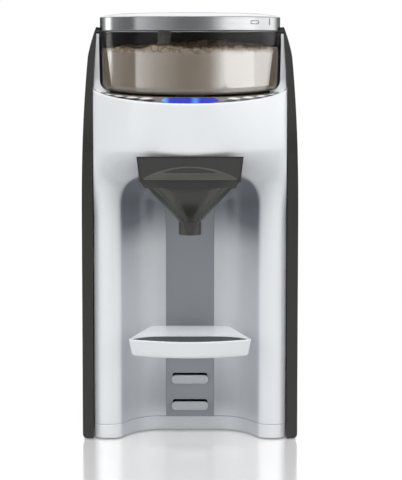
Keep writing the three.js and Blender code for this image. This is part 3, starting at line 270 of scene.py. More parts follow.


# The container's smoke: strong reflections from a heavy coat where powder stands behind; above the powder
# line a thin coat, clearer, with a darker tint that is painted shade of the dark space under the lid
smokeTint = dict(
    fill=0.3426, fillSoft=0.003, fillWave=0.002, clear=0.2, filledMore=0.14, edgeMore=0.6, edgePower=7,
    rough=0.05, coat=0.98, coatLeast=0.02, coatIor=3.0, ior=1.25,
)


def smokeFinish(name, colour):
    made = Finish(name)
    tint = smokeTint
    turn = made.facing()
    stir, haze, tones, ripple = made.hazed(colour)
    height = made.axes()[2] + (haze - 0.5) * tint["fillWave"]
    filled = height.below(tint["fill"], tint["fillSoft"])
    edge = (turn ** tint["edgePower"]) * tint["edgeMore"]
    return made.surface({
        # above the powder line the tint darkens: painted shade under the lid
        "Base Color": made.blend(filled, shaded(colour, 0.5), tones),
        "Roughness": stir + tint["rough"],
        "Alpha": edge + tint["clear"] + filled * tint["filledMore"] + stir,
        "Coat Weight": filled * tint["coat"] + tint["coatLeast"], "Coat IOR": tint["coatIor"],
        "Coat Roughness": 0.03, "Normal": ripple, "IOR": tint["ior"],
    })


# The funnel's smoke: darker where its chute, its cover and its skirt's underside lie behind
funnelTint = dict(
    chuteLow=0.195, chuteFlare=0.33, chuteHalf=0.0068, chuteSoft=0.0014, coverHalf=0.031,
    coverMiddle=0.2345, coverReach=0.0125, skirtFrom=0.2263, skirtSoft=0.0004, dark=0.26,
)


def funnelFinish(name, colour):
    made = Finish(name)
    tint = funnelTint
    x, _, z = made.axes()
    stir, _, base, ripple = made.hazed(colour)
    chute = (x.absolute() - (z - tint["chuteLow"]) * tint["chuteFlare"]).below(
        tint["chuteHalf"], tint["chuteSoft"])
    across = x / tint["coverHalf"]
    down = (z - tint["coverMiddle"]) / tint["coverReach"]
    cover = ((across * across + down * down) ** 0.5).below(1.0, 0.06)
    skirtZone = 1.0 - z.below(tint["skirtFrom"], tint["skirtSoft"])
    base = made.blend(chute * 0.55, base, shaded(colour, 0.3))
    base = made.blend(cover, base, shaded(colour, tint["dark"]))
    base = made.blend(skirtZone * 0.6, base, shaded(colour, tint["dark"]))
    return made.surface({
        "Base Color": base, "Roughness": stir + 0.2, "Alpha": 0.96, "Normal": ripple, "IOR": 1.49,
    })


# Powder: pressed smooth against the wall and crumbly on top, with painted shade in the cracks between the
# lumps and crumb tones raised as painted light, since the lid keeps light off the top
powderTint = dict(
    crustFrom=0.3412, crustSoft=0.001, crustWave=0.012, crackScale=150, crackWidth=0.07,
    pale=((205, 184, 154), (216, 197, 170)), crumbsPaintedLight=((150, 128, 102), (236, 218, 190)),
    crackShade=(92, 76, 58),
)


def powderFinish(name):
    made = Finish(name)
    tint = powderTint
    grain = made.noise(900, 4)
    lump = made.noise(110, 3)
    crackShade = made.node(
        "TexVoronoi", {"feature": "DISTANCE_TO_EDGE"},
        {"Vector": made.place(), "Scale": tint["crackScale"], "Randomness": 1.0},
    )
    height = made.axes()[2] + (lump - 0.5) * tint["crustWave"]
    crust = 1.0 - height.below(tint["crustFrom"], tint["crustSoft"])
    # the cracks between the lumps get a dark tone: painted shade
    gap = crackShade.below(tint["crackWidth"], tint["crackWidth"]) * crust
    # the crumbs' tones are raised as painted light for the top under the lid
    pale, crumbsPaintedLight = [
        made.blend(lump, tone(*tint[part][0]), tone(*tint[part][1])) for part in ("pale", "crumbsPaintedLight")]
    return made.surface({
        "Base Color": made.blend(gap * 0.6, made.blend(crust, pale, crumbsPaintedLight), tone(*tint["crackShade"])),
        "Roughness": 0.95 - grain * 0.1,
        "Normal": made.bump(grain * 0.5 + lump * 0.8 - gap * 0.6, 0.0012, 0.7),
    })


def boardFinish(name):
    made = Finish(name)
    tracks = made.node(
        "TexBrick", None,
        {"Vector": made.place(), "Color1": tone(26, 84, 52), "Color2": tone(20, 66, 42),
         "Mortar": tone(74, 122, 70), "Scale": 160.0, "Mortar Size": 0.03, "Bias": 0.2},
    )
    cloud = made.noise(300, 2)
    return made.surface({
        "Base Color": tracks, "Roughness": 0.35 + cloud * 0.2, "Normal": made.bump(cloud, 0.00003),
    })


# Status light: blue, with a bright spot near its left end and a weaker one right of its middle
statusGlow = dict(
    spots=((-0.0222, 0.003, 1.0), (0.0045, 0.0026, 0.6)), blue=(42, 52, 176), spot=(120, 190, 255),
    dim=((24, 32, 120), (30, 40, 140)), strength=0.75,
)


def statusFinish(name):
    made = Finish(name)
    glow = statusGlow
    x = made.axes()[0]
    spot = sum((x - middle).absolute().below(reach, reach) * share
               for middle, reach, share in glow["spots"])
    grain = made.noise(500, 2)
    low, high = [tone(*colour) for colour in glow["dim"]]
    return made.surface({
        "Base Color": made.blend(grain, shaded(low, 0.7), high), "Roughness": 0.2 + grain * 0.08,
        "Emission Color": made.blend(spot, tone(*glow["blue"]), tone(*glow["spot"])),
        "Emission Strength": glow["strength"], "Normal": made.bump(grain, 0.00002),
    })


finishes = {
    # the white shell turns a cooler grey by its bay share attribute: partly the bay's own tone, mostly
    # painted shade in and under the bay
    "white_shell": moulded("glossWhiteShell", tone(234, 237, 240), 0.16, 0.012, 1700, 0.000004,
                           0.00003, {"IOR": 1.46}, ("bayShare", tone(142, 148, 156))),
    "pale_grey_plastic": moulded("satinGreyPlastic", tone(203, 207, 211), 0.42, 0.03, 1300, 0.00001),
    "bay_grey": moulded("bayPlateGrey", tone(158, 162, 167), 0.35, 0.02, 1500, 0.000005),
    "collar_grey": moulded("collarGreyGloss", tone(122, 117, 112), 0.12, 0.05, 1500, 0.000004),
    "dark_panel": moulded("darkPanelGloss", tone(28, 27, 25), 0.24, 0.08, 1500, 0.000005, 0.00003),
    "black_plastic": moulded("glossBlackPlastic", tone(22, 22, 24), 0.16, 0.1, 1500, 0.000005),
    "silver_lid": brushedFilm("brushedSilverLidPaintedLight", (0, -0.05, 0)),
    "steel": machinedSteel("turnedSteel", tone(186, 187, 190), 0.3),
    "smoke_container": smokeFinish("smokeContainer", tone(40, 31, 22)),
    "dark_smoke": tinted("darkSmokeFunnel", tone(50, 50, 47), 0.93, 0.98, 0.14),
    "cone_smoke": funnelFinish("coneSmokeFunnel", tone(62, 62, 58)),
    "smoke_light": tinted("paleSmokeRelief", tone(77, 77, 71), 0.95, 0.98, 0.2),
    "clear_plastic": tinted("clearTank", tone(196, 206, 212), 0.2, 0.75),
    "silicone": softRubber("sealSilicone", tone(206, 209, 212), 0.5, 1600, 0.00002),
    "seal_grey": softRubber("lidSealGrey", tone(96, 98, 100), 0.5, 1600, 0.00002),
    "rubber": softRubber("blackRubber", tone(38, 38, 40), 0.8),
    "tray_rubber": softRubber("trayMatRubber", tone(63, 65, 68), 0.62, 700, 0.00012),
    "acetal": moulded("milkyAcetal", tone(224, 225, 224), 0.48, 0.03, 900, 0.00002),
    "blue_light": statusFinish("blueStatusLight"),
    "circuit_board": boardFinish("greenBoard"),
    "powder": powderFinish("formulaPowder"),
}
print("finishes ready:", len(finishes))

# Mesh helpers: every mesh is worked out in millimetres and brought to metres at its end
mm = 0.001


def linked(name, data):
    # a new object in the scene
    item = bpy.data.objects.new(name, data)
    bpy.context.scene.collection.objects.link(item)
    return item


def meshData(name, mesh):
    # the working mesh is used up
    data = bpy.data.meshes.new(name)
    mesh.to_mesh(data)
    mesh.free()
    return data


def addPiece(name, mesh, body, slot, stands=(), sharp=38, finish=None):
    bmesh.ops.transform(mesh, matrix=Matrix.Scale(mm, 4), verts=mesh.verts)
    data = meshData(name, mesh)
    data.polygons.foreach_set("use_smooth", [True] * len(data.polygons))
    data.set_sharp_from_angle(angle=math.radians(sharp))
    piece = linked(name, data)
    data.materials.append(finishes[finish or slot])
    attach(piece, body)
    if stands:
        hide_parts(*stands)
    return piece


def addEven(*given, **more):
    # keeps large flat faces flat beside their rounded edges
    piece = addPiece(*given, **more)
    change = piece.modifiers.new("evenShading", "WEIGHTED_NORMAL")
    change.keep_sharp = True
    change.weight = 80
    return piece


def bevelled(mesh, geom, width, segments, affect="EDGES"):
    bmesh.ops.bevel(
        mesh, geom=geom, offset=width, offset_type="OFFSET", segments=segments, profile=0.5,
        affect=affect, material=-1, clamp_overlap=True,
    )
    return mesh


def flatFace(corners, toSpace, segments):
    # one flat face through corners (a, b, rounding), set in space by toSpace(a, b)
    mesh = bmesh.new()
    verts = [mesh.verts.new(toSpace(corner[0], corner[1])) for corner in corners]
    mesh.faces.new(verts)
    for vert, corner in zip(verts, corners):
        if len(corner) > 2 and corner[2]:
            bevelled(mesh, [vert], corner[2], segments, "VERTICES")
    return mesh


def tidyNormals(mesh):
    bmesh.ops.remove_doubles(mesh, verts=mesh.verts, dist=0.0008)
    bmesh.ops.recalc_face_normals(mesh, faces=mesh.faces)
    return mesh


def spun(mesh, centre, steps):
    bmesh.ops.spin(
        mesh, geom=mesh.verts[:] + mesh.edges[:], cent=(centre[0], centre[1], 0), axis=(0, 0, 1),
        angle=2 * math.pi, steps=steps, use_merge=True, use_duplicate=False,
    )
    return tidyNormals(mesh)


def lathe(corners, centre, steps):
    # a closed section of (radius, height, rounding) corners, spun about an upright line
    mesh = flatFace(corners, lambda r, z: (centre[0] + r, centre[1], z), 5)
    bmesh.ops.delete(mesh, geom=mesh.faces[:], context="FACES_ONLY")
    return spun(mesh, centre, steps)


def soften(mesh, width, angle=32, segments=3):
    sharp = [
        edge for edge in mesh.edges
        if len(edge.link_faces) == 2 and edge.calc_face_angle(0) > math.radians(angle)
    ]
    return bevelled(mesh, sharp, width, segments)


def slab(corners, toSpace, push, segments=6):
    # a flat face pushed into a solid
    mesh = flatFace(corners, toSpace, segments)
    grown = bmesh.ops.extrude_face_region(mesh, geom=mesh.faces[:])
    moved = [item for item in grown["geom"] if isinstance(item, bmesh.types.BMVert)]
    bmesh.ops.translate(mesh, vec=push, verts=moved)
    return tidyNormals(mesh)


# Where a flat outline stands: upright across the front, lying level, or upright along a side
def frontAt(depth):
    return lambda x, z: (x, depth, z)


def floorAt(height):
    return lambda x, y: (x, y, height)


def sideAt(across):
    return lambda y, z: (across, y, z)


def shifted(mesh, offset):
    bmesh.ops.translate(mesh, vec=offset, verts=mesh.verts)
    return mesh


def sliced(mesh, spot, normal, **more):
    bmesh.ops.bisect_plane(
        mesh, geom=mesh.verts[:] + mesh.edges[:] + mesh.faces[:], dist=0.0001, plane_co=spot,
        plane_no=normal, **more)
    return mesh


def rounded(halfX, halfZ, radius, x, z):
    return [(x - halfX, z - halfZ, radius), (x + halfX, z - halfZ, radius),
            (x + halfX, z + halfZ, radius), (x - halfX, z + halfZ, radius)]


def joined(*meshes):
    # several loose solids as one mesh
    whole = meshes[0]
    for other in meshes[1:]:
        holder = meshData("holder", other)
        whole.from_mesh(holder)
        bpy.data.meshes.remove(holder)
    return whole


def cutBy(mesh, *cutters, how="DIFFERENCE"):
    # takes the cutters out of a solid with one boolean each, or keeps what they share
    piece = linked("holder", meshData("holder", mesh))
    tools = []
    for cutter in cutters:
        tool = linked("cutter", meshData("cutter", cutter))
        change = piece.modifiers.new("cut", "BOOLEAN")
        change.object = tool
        change.operation = how
        change.solver = "EXACT"
        tools.append(tool)
    result = bpy.data.meshes.new_from_object(
        piece.evaluated_get(bpy.context.evaluated_depsgraph_get()))
    whole = bmesh.new()
    whole.from_mesh(result)
    for tool in tools + [piece]:
        data = tool.data
        bpy.data.objects.remove(tool)
        bpy.data.meshes.remove(data)
    bpy.data.meshes.remove(result)
    return whole


def solidOf(node):
    # a merged copy of a CAD solid, in millimetres, its flat faces whole again
    mesh = bmesh.new()
    mesh.from_mesh(nodes[node].data)
    bmesh.ops.transform(mesh, matrix=Matrix.Scale(1 / mm, 4), verts=mesh.verts)
    bmesh.ops.remove_doubles(mesh, verts=mesh.verts, dist=0.002)
    bmesh.ops.dissolve_limit(
        mesh, angle_limit=math.radians(0.6), verts=mesh.verts, edges=mesh.edges)
    return mesh


# The upright line that the container, its lid and its collar share
jarCentre = (0.0, -50.0)


def wrapped(mesh, radius):
    # bends a flat mesh (x along the ring, y outward as minus) round the container's line
    for vert in mesh.verts:
        angle = vert.co.x / radius
        reach = radius - vert.co.y
        vert.co.x = jarCentre[0] + reach * math.sin(angle)
        vert.co.y = jarCentre[1] - reach * math.cos(angle)
    return mesh


# White shell: one skin whose front swells at the head and hollows into the bottle bay
shell = dict(
    half=84.7, legFront=85.0, bayDepth=35.0, bayHalf=61.0, bayFlat=27.0, cornerStart=205.0,
    cornerHeight=31.0, cornerPower=2.6, cove=0.7, rimSoft=0.03, bulge=50.0, headStart=226.0,
    headFull=258.0, top=300.0, bottom=13.4, wall=2.6, cell=1.3, crownInner=3.2, crownOuter=5.2,
    crownSpan=12.0, crownMost=6.0, crownFade=(190.0, 244.0), crownEdge=(0.9, 1.05), legCentre=73.0,
    topRound=1.6, sideRound=1.2, seamRound=0.4, ledge=9.0, ledgeRadius=81.2, rimLow=298.3,
    rimRise=12.0, rimReach=40, sweepFrom=250.0, sweepOver=114.0, sweep=28.0, sweepPower=8,
)
# where the bay's cooler tone and its painted shade come in and fade, as (from, to), and how much each part
# adds: a little plain tone, then painted shade on the cove's sides, high under the head, low behind the tray
# and under the head's swell
bayTintAndShade = dict(
    deep=(1.5, 9.0), high=(162.0, 208.0), wide=(30.0, 52.0), lowEnd=(30.0, 95.0), lowStart=(6.0, 30.0),
    lowLess=0.7, headEnd=262.0, headFade=(0.0, 34.0), headStart=(190.0, 232.0), inside=(56.0, 84.0),
    always=0.06, wideShadeShare=0.38, highShadeShare=0.9, lowShadeShare=0.6, headShadeShare=0.12,
)
funnelWindow = dict(half=44.4, low=226.0, high=250.6)
plateWindow = dict(half=21.5, low=13.2, high=210.3)
skirt = dict(bottom=0.8, top=13.2, footRound=1.4)


def smoothStep(value, low, high):
    share = min(1.0, max(0.0, (value - low) / (high - low)))
    return share * share * (3 - 2 * share)


def shellDepth(x, z):
    s = shell
    across = max(0.0, abs(x) - s["bayFlat"]) / (s["bayHalf"] - s["bayFlat"])
    up = max(0.0, z - s["cornerStart"]) / s["cornerHeight"]
    reach = (across ** s["cornerPower"] + up ** s["cornerPower"]) ** (1 / s["cornerPower"])
    inside = 1 - reach * reach
    soft = (inside + math.sqrt(inside * inside + s["rimSoft"] ** 2)) / 2
    swell = s["bulge"] * (1 - (x / s["half"]) ** 2) * smoothStep(z, s["headStart"], s["headFull"])
    side = (abs(x) - s["legCentre"]) / s["crownSpan"]
    crown = (s["crownInner"] if side < 0 else s["crownOuter"]) * side * side
    crown = min(crown, s["crownMost"]) * (1 - smoothStep(z, *s["crownFade"]))
    crown *= smoothStep(reach, *s["crownEdge"]) * (1 if reach > s["crownEdge"][0] or side > 0 else 0)
    # the top corners lean back with the front edges of the side panels
    lean = s["sweep"] * (max(0.0, z - s["sweepFrom"]) / s["sweepOver"]) ** 2
    swell -= lean * (abs(x) / s["half"]) ** s["sweepPower"]
    return -s["legFront"] - swell + crown + s["bayDepth"] * soft ** s["cove"]


def rimHeight(x):
    # the shell's top line dips in front of the container and rises beside it
    s = shell
    return s["rimLow"] + s["rimRise"] * (1 - math.sqrt(max(0.0, 1 - (x / s["half"]) ** 2)))


def bayTintAndPaintedShade(x, z, y):
    # the bay's own cooler tone with painted shade over it: full a few millimetres into the bay, heavier on
    # the cove's sides, high up under the head and low behind the tray, and soft painted shade under the
    # head's swell outside the bay
    b = bayTintAndShade
    deep = smoothStep(y + shell["legFront"], *b["deep"])
    high = smoothStep(z, *b["high"])
    wide = smoothStep(abs(x), *b["wide"])
    low = (1 - smoothStep(z, *b["lowEnd"])) * smoothStep(z, *b["lowStart"]) * (1 - b["lowLess"] * wide)
    under = smoothStep(b["headEnd"] - z, *b["headFade"]) * smoothStep(z, *b["headStart"])
    inside = 1 - smoothStep(abs(x), *b["inside"])
    inBay = b["always"] + b["wideShadeShare"] * wide + b["highShadeShare"] * high + b["lowShadeShare"] * low
    return min(1.0, deep * inBay + b["headShadeShare"] * under * inside)


def shellSkin(low, high, topRound, bottomRound, ledge=0.0):
    s = shell
    span = high + ledge - low
    mesh = bmesh.new()
    bmesh.ops.create_grid(
        mesh, x_segments=int(2 * s["half"] / s["cell"]), y_segments=max(6, int(span / s["cell"])), size=1.0)
    for vert in mesh.verts:
        vert.co = Vector((vert.co.x * s["half"], 0, low + (vert.co.y + 1) / 2 * span))
    for window in (funnelWindow, plateWindow):
        if window["high"] < low or window["low"] > high:
            continue
        for side in (-1, 1):
            sliced(mesh, (side * window["half"], 0, 0), (1, 0, 0))
        for level in ("low", "high"):
            sliced(mesh, (0, 0, window[level]), (0, 0, 1))
        inside = [
            face for face in mesh.faces
            if abs(face.calc_center_median().x) < window["half"]
            and window["low"] < face.calc_center_median().z < window["high"]
        ]
        bmesh.ops.delete(mesh, geom=inside, context="FACES")
    # extra rows and columns of faces where the skin's edges round off
    for edge, rounding in ((high, -topRound), (low, bottomRound)):
        for share in (0.1, 0.3, 0.6, 1.0):
            sliced(mesh, (0, 0, edge + rounding * share), (0, 0, 1))
    for side in (-1, 1):
        for share in (0.15, 0.5, 1.0):
            sliced(mesh, (side * (s["half"] - s["sideRound"] * share), 0, 0), (1, 0, 0))
    if ledge:
        sliced(mesh, (0, 0, high), (0, 0, 1))
    bayShare = mesh.verts.layers.float.new("bayShare")
    for vert in mesh.verts:
        x, z = vert.co.x, min(vert.co.z, high)
        over = max(0.0, vert.co.z - high)
        back = 0.0
        for edge, radius in ((high - z, topRound), (z - low, bottomRound),
                             (s["half"] - abs(x), s["sideRound"])):
            if edge < radius:
                back += radius - math.sqrt(max(0.0, radius ** 2 - (radius - edge) ** 2))
        vert.co.y = shellDepth(x, z) + back
        # the bay's share: its cooler tone and its painted shade
        vert[bayShare] = bayTintAndPaintedShade(x, z, vert.co.y)
        if ledge:
            ring = jarCentre[1] - math.sqrt(max(0.0, s["ledgeRadius"] ** 2 - x * x))
            vert.co.y += (ring - vert.co.y) * over / ledge
            vert.co.z = z + (rimHeight(x) - high) * smoothStep(z, high - s["rimReach"], high)
    if sum(face.normal.y for face in mesh.faces) > 0:
        bmesh.ops.reverse_faces(mesh, faces=mesh.faces)
    mesh.normal_update()
    return mesh


for node, low, high, topRound, bottomRound, ledge in (
        ("front_shell", shell["bottom"], shell["top"], shell["topRound"], shell["seamRound"], shell["ledge"]),
        ("base_skirt", skirt["bottom"], skirt["top"], shell["seamRound"], skirt["footRound"], 0.0)):
    skin = addPiece(node + "_skin", shellSkin(low, high, topRound, bottomRound, ledge), "housing",
                    "white_shell", (node,), sharp=60)
    wall = skin.modifiers.new("wall", "SOLIDIFY")
    wall.thickness = shell["wall"] * mm
    wall.offset = -1.0
print("shell and skirt ready")

# Container, its powder, lid, seal and collar
jar = dict(
    radius=79.5, wall=1.6, bottom=308.2, top=359.3, floor=0.9, corner=6.5, lipRound=0.7, floorRound=2.0,
    dip=4.5, dipFront=-131.8, dipOver=81.8, dipFade=(312.0, 330.0),
)
powderHeap = dict(
    radius=77.6, low=309.3, high=342.0, rings=64, rows=10, steps=300, lump=4.6, crumb=2.0, broad=2.2,
    rise=3.0, edge=3.6, hump=4.0, humpPlace=(20.0, -72.0), humpReach=34.0, dipFade=(312.0, 328.0),
    # size of the broad waves, the lumps and the crumbs, and each one's level in the noise
    noises=((26, 3.1), (9, 7.7), (3.2, 1.3)),
)
lidShape = dict(radius=79.7, low=359.6, shoulder=372.0, crown=3.8, wall=0.9, rim=1.3, slopeIn=14,
                slopeRise=2.6, slopeRound=10.0, domeIn=40, domeRound=12.0)
sealShape = dict(outer=79.2, inner=74.0, low=359.6, high=361.6, rounds=(0.6, 0.6, 0.6, 0.6))
collarShape = dict(outer=81.8, inner=71.8, low=300.3, high=307.7, lowFront=296.8, lowRise=12.0,
                   least=0.9, rounds=(0.0, 0.5, 1.0, 0.6))


def frontDip(y):
    # 1 at the very front of the round parts, 0 from their middle backwards
    return 1 - min(1.0, max(0.0, (y - jar["dipFront"]) / jar["dipOver"]))


def makeJar():
    j = jar
    inner, floor = j["radius"] - j["wall"], j["bottom"] + j["floor"]
    mesh = lathe([
        (0, j["bottom"]), (j["radius"], j["bottom"], j["corner"]), (j["radius"], j["top"], j["lipRound"]),
        (inner, j["top"], j["lipRound"]), (inner, floor, j["floorRound"]), (0, floor),
    ], jarCentre, 240)
    for vert in mesh.verts:
        vert.co.z -= j["dip"] * frontDip(vert.co.y) * (1 - smoothStep(vert.co.z, *j["dipFade"]))
    return mesh


def makePowder():
    p = powderHeap
    mesh = bmesh.new()
    line = [(0, p["low"]), (p["radius"] - p["edge"], p["low"]), (p["radius"], p["low"] + p["edge"]),
            (p["radius"], p["high"]), (0, p["high"])]
    verts = [mesh.verts.new((jarCentre[0] + r, jarCentre[1], z)) for r, z in line]
    edges = [mesh.edges.new(pair) for pair in zip(verts, verts[1:])]
    bmesh.ops.subdivide_edges(mesh, edges=[edges[3]], cuts=p["rings"])
    bmesh.ops.subdivide_edges(mesh, edges=[edges[2]], cuts=p["rows"])
    spun(mesh, jarCentre, p["steps"])
    for vert in mesh.verts:
        spot = vert.co
        if spot.z > p["high"] - 0.01:
            flat = Vector((spot.x, spot.y))
            away = (flat - Vector(jarCentre)).length / p["radius"]
            hump = (flat - Vector(p["humpPlace"])).length / p["humpReach"]
            broad, lump, crumb = [
                noise.noise(Vector((spot.x / size, spot.y / size, level))) for size, level in p["noises"]]
            rise = p["rise"] * (1 - away ** 2) + p["broad"] * broad + p["lump"] * abs(lump)
            spot.z += rise + p["crumb"] * abs(crumb)
            spot.z += p["hump"] * math.exp(-hump * hump)
        elif spot.z < p["low"] + 20:
            spot.z -= jar["dip"] * frontDip(spot.y) * (1 - smoothStep(spot.z, *p["dipFade"]))
    return mesh


def makeLid():
    s = lidShape
    inner = s["radius"] - s["wall"]
    top = s["shoulder"] + s["crown"]
    return lathe([
        (inner, s["low"]), (s["radius"], s["low"], 0.4), (s["radius"], s["shoulder"], s["rim"]),
        (s["radius"] - s["slopeIn"], s["shoulder"] + s["slopeRise"], s["slopeRound"]),
        (s["radius"] - s["domeIn"], top - 0.5, s["domeRound"]), (0, top),
        (0, top - 2.2), (inner - 30, top - 3.0), (inner, s["shoulder"] - 1.6, 1.2),
    ], jarCentre, 256)


def makeRing(shape, steps):
    sides = zip(("inner", "outer", "outer", "inner"), ("low", "low", "high", "high"), shape["rounds"])
    return lathe([(shape[side], shape[level], rounding) for side, level, rounding in sides],
                 jarCentre, steps)


def dipCollar(mesh):
    # the collar follows the container's dip and thins out towards its sides
    c = collarShape
    for vert in mesh.verts:
        dip = frontDip(vert.co.y)
        top = c["high"] - jar["dip"] * dip
        bottom = min(c["lowFront"] + c["lowRise"] * (1 - dip), top - c["least"])
        share = (vert.co.z - c["low"]) / (c["high"] - c["low"])
        vert.co.z = bottom + share * (top - bottom)
    return mesh


addEven("powder_jar", makeJar(), "container", "smoke_container", ("powder_container",))
addPiece("powder_fill", makePowder(), "container", "acetal", sharp=180, finish="powder")
addEven("lid_shell", makeLid(), "lid", "silver_lid", ("container_lid",))
addEven("seal_ring", makeRing(sealShape, 200), "lid_carrier", "silicone", ("lid_seal",),
        finish="seal_grey")
addPiece("collar_ring", dipCollar(makeRing(collarShape, 256)), "housing", "black_plastic",
         ("container_collar",), finish="collar_grey")

# Lens marks on the collar, four each side of the light: each a pale one over a black one
lensMarks = dict(angles=(27.0, 37.2, 48.2, 60.0), length=13.0, height=2.2, low=305.9, slant=0.5,
                 proud=0.22, darkLow=303.6, darkHeight=2.6, darkAside=2.6, steps=14, pointed=1.6)
lightBar = dict(half=25.0, low=297.9, high=303.2, proud=0.35, inward=3.0, taper=7.0, topTaper=0.6)


def makeLensMark(side, angle, low, height):
    m = lensMarks
    corners = []
    for i in range(m["steps"]):
        turn = 2 * math.pi * i / m["steps"]
        across = math.cos(turn)
        rise = math.sin(turn) * (1 - abs(across) ** m["pointed"]) ** 0.5 if abs(across) < 1 else 0.0
        corners.append((across * m["length"] / 2, low + rise * height / 2 - side * across * m["slant"]))
    mesh = slab(corners, frontAt(0), (0, -m["proud"], 0))
    shifted(mesh, (side * math.radians(angle) * collarShape["outer"], 0.05, 0))
    return dipCollar(wrapped(mesh, collarShape["outer"]))


def makeMarkSet(low, height, aside):
    turned = math.degrees(aside / collarShape["outer"])
    return joined(*[makeLensMark(side, angle - turned, low, height)
                    for side in (-1, 1) for angle in lensMarks["angles"]])


def makeLightBar():
    b = lightBar
    middle = (b["low"] + b["high"]) / 2
    lowHalf = b["half"] - b["taper"]
    topHalf = b["half"] - b["taper"] * b["topTaper"]
    mesh = slab([
        (-b["half"], middle, 0.5), (-lowHalf, b["low"], 3.0), (lowHalf, b["low"], 3.0),
        (b["half"], middle, 0.5), (topHalf, b["high"], 2.0), (-topHalf, b["high"], 2.0),
    ], frontAt(0), (0, -b["proud"] - b["inward"], 0))
    shifted(mesh, (0, b["inward"], 0))
    bmesh.ops.subdivide_edges(
        mesh, edges=[edge for edge in mesh.edges if edge.calc_length() > 20], cuts=30,
        use_grid_fill=True)
    bmesh.ops.triangulate(mesh, faces=[face for face in mesh.faces if len(face.verts) > 4])
    return wrapped(mesh, collarShape["outer"])


addPiece("collar_marks", makeMarkSet(lensMarks["low"], lensMarks["height"], 0.0), "housing",
         "white_shell")
addPiece("collar_dark_marks", makeMarkSet(
    lensMarks["darkLow"], lensMarks["darkHeight"], lensMarks["darkAside"]), "housing", "black_plastic")
addPiece("light_bar", makeLightBar(), "housing", "blue_light", ("status_light",))
print("container, lid and collar ready")

# White cheeks that close the gap between the container and the side panels
cheek = dict(
    radius=80.9, inner=70.0, outer=84.6, rear=-49.0, gap=0.35, boreLow=307.4, boreRound=7.2, boreTop=370,
    rows=range(302, 350, 6),
    # front line from the shell's corner up and back, as (y, z)
    line=((-80.6, 290.0), (-78.8, 300.0), (-76.0, 305.0), (-71.0, 310.0), (-67.0, 316.0),
          (-65.0, 330.0), (-61.0, 357.0)),
)
sidePanel = dict(
    inner=85.0, widest=94.5, lean=5.0, leanFrom=200.0, leanOver=137.0, leanSteps=18, shoulder=337.0,
    tip=363.0, tipX=82.6, tipInner=82.3, tipPower=1.75, tipFrom=300.0, tipCurve=1.5, tipSteps=12,
    innerSteps=11, bottom=1.2, footRound=4.0, front=-86.0, rear=146.0, rearRound=24.0, spare=5,
    sweepFrom=250.0, sweep=28.0, sweepSteps=16, edge=1.0, cutFrom=60.0, cutOver=50.0,
)
controlWindow = dict(halfY=38.35, halfZ=37.35, corner=7.3, y=-2.0, z=259.0)


def panelInnerAt(z):
    s = sidePanel
    up = max(0.0, z - s["tipFrom"]) / (s["tip"] - s["tipFrom"])
    return s["inner"] - (s["inner"] - s["tipInner"]) * up ** s["tipCurve"]


def panelOuterAt(z):
    s = sidePanel
    return s["widest"] - s["lean"] * (max(0.0, z - s["leanFrom"]) / s["leanOver"]) ** 2


def makeCheek(side):
    c = cheek
    corners = [(c["rear"], c["line"][0][1])] + list(c["line"]) + [(c["rear"], c["line"][-1][1])]
    body = slab(corners, sideAt(side * c["inner"]), (side * (c["outer"] - c["inner"]), 0, 0))
    for level in c["rows"]:
        sliced(body, (0, 0, level), (0, 0, 1))
    for vert in body.verts:
        if abs(vert.co.x) > c["outer"] - 0.01:
            vert.co.x = side * (panelInnerAt(vert.co.z) - c["gap"])
    # the bore follows the container's rounded foot, so that only a thin gap shows round it
    bore = lathe([(0, c["boreLow"]), (c["radius"], c["boreLow"], c["boreRound"]),
                  (c["radius"], c["boreTop"]), (0, c["boreTop"])], jarCentre, 240)
    return cutBy(body, bore)


def makePanel(side):
    s = sidePanel
    section = [(s["inner"], s["bottom"]), (s["widest"], s["bottom"], s["footRound"])]
    for i in range(s["leanSteps"] + 1):
        z = s["leanFrom"] + (s["shoulder"] - s["leanFrom"]) * i / s["leanSteps"]
        section.append((panelOuterAt(z), z))
    shoulderX = panelOuterAt(s["shoulder"])
    for i in range(1, s["tipSteps"] + 1):
        turn = i / s["tipSteps"] * math.pi / 2
        section.append((s["tipX"] + (shoulderX - s["tipX"]) * max(0.0, math.cos(turn)) ** s["tipPower"],
                        s["shoulder"] + (s["tip"] - s["shoulder"]) * math.sin(turn) ** s["tipPower"]))
    for i in range(s["innerSteps"] - 1, -1, -1):
        z = s["tipFrom"] + (s["tip"] - s["tipFrom"]) * i / s["innerSteps"]
        section.append((panelInnerAt(z), z))
    section = [(side * corner[0],) + tuple(corner[1:]) for corner in section]
    body = slab(section, frontAt(s["front"] - s["spare"]),
                (0, s["rear"] - s["front"] + 2 * s["spare"], 0))
    outline = [(s["rear"], s["bottom"]), (s["rear"], s["tip"] + 2, s["rearRound"])]
    for i in range(s["sweepSteps"], -1, -1):
        share = i / s["sweepSteps"]
        outline.append((s["front"] + s["sweep"] * share ** 2,
                        s["sweepFrom"] + share * (s["tip"] + 2 - s["sweepFrom"])))
    outline.append((s["front"], s["bottom"]))
    place, push = sideAt(side * s["cutFrom"]), (side * s["cutOver"], 0, 0)
    body = cutBy(body, slab(outline, place, push, 10), how="INTERSECT")
    if side > 0:
        w = controlWindow
        opening = rounded(w["halfY"], w["halfZ"], w["corner"], w["y"], w["z"])
        body = cutBy(body, slab(opening, place, push))
    return soften(body, s["edge"], 40)


for side, word in ((-1, "left"), (1, "right")):
    addPiece(word + "_cheek", makeCheek(side), "housing", "white_shell")
    addEven(word + "_panel_skin", makePanel(side), "housing", "dark_panel", (word + "_side_panel",))
print("cheeks and side panels ready")

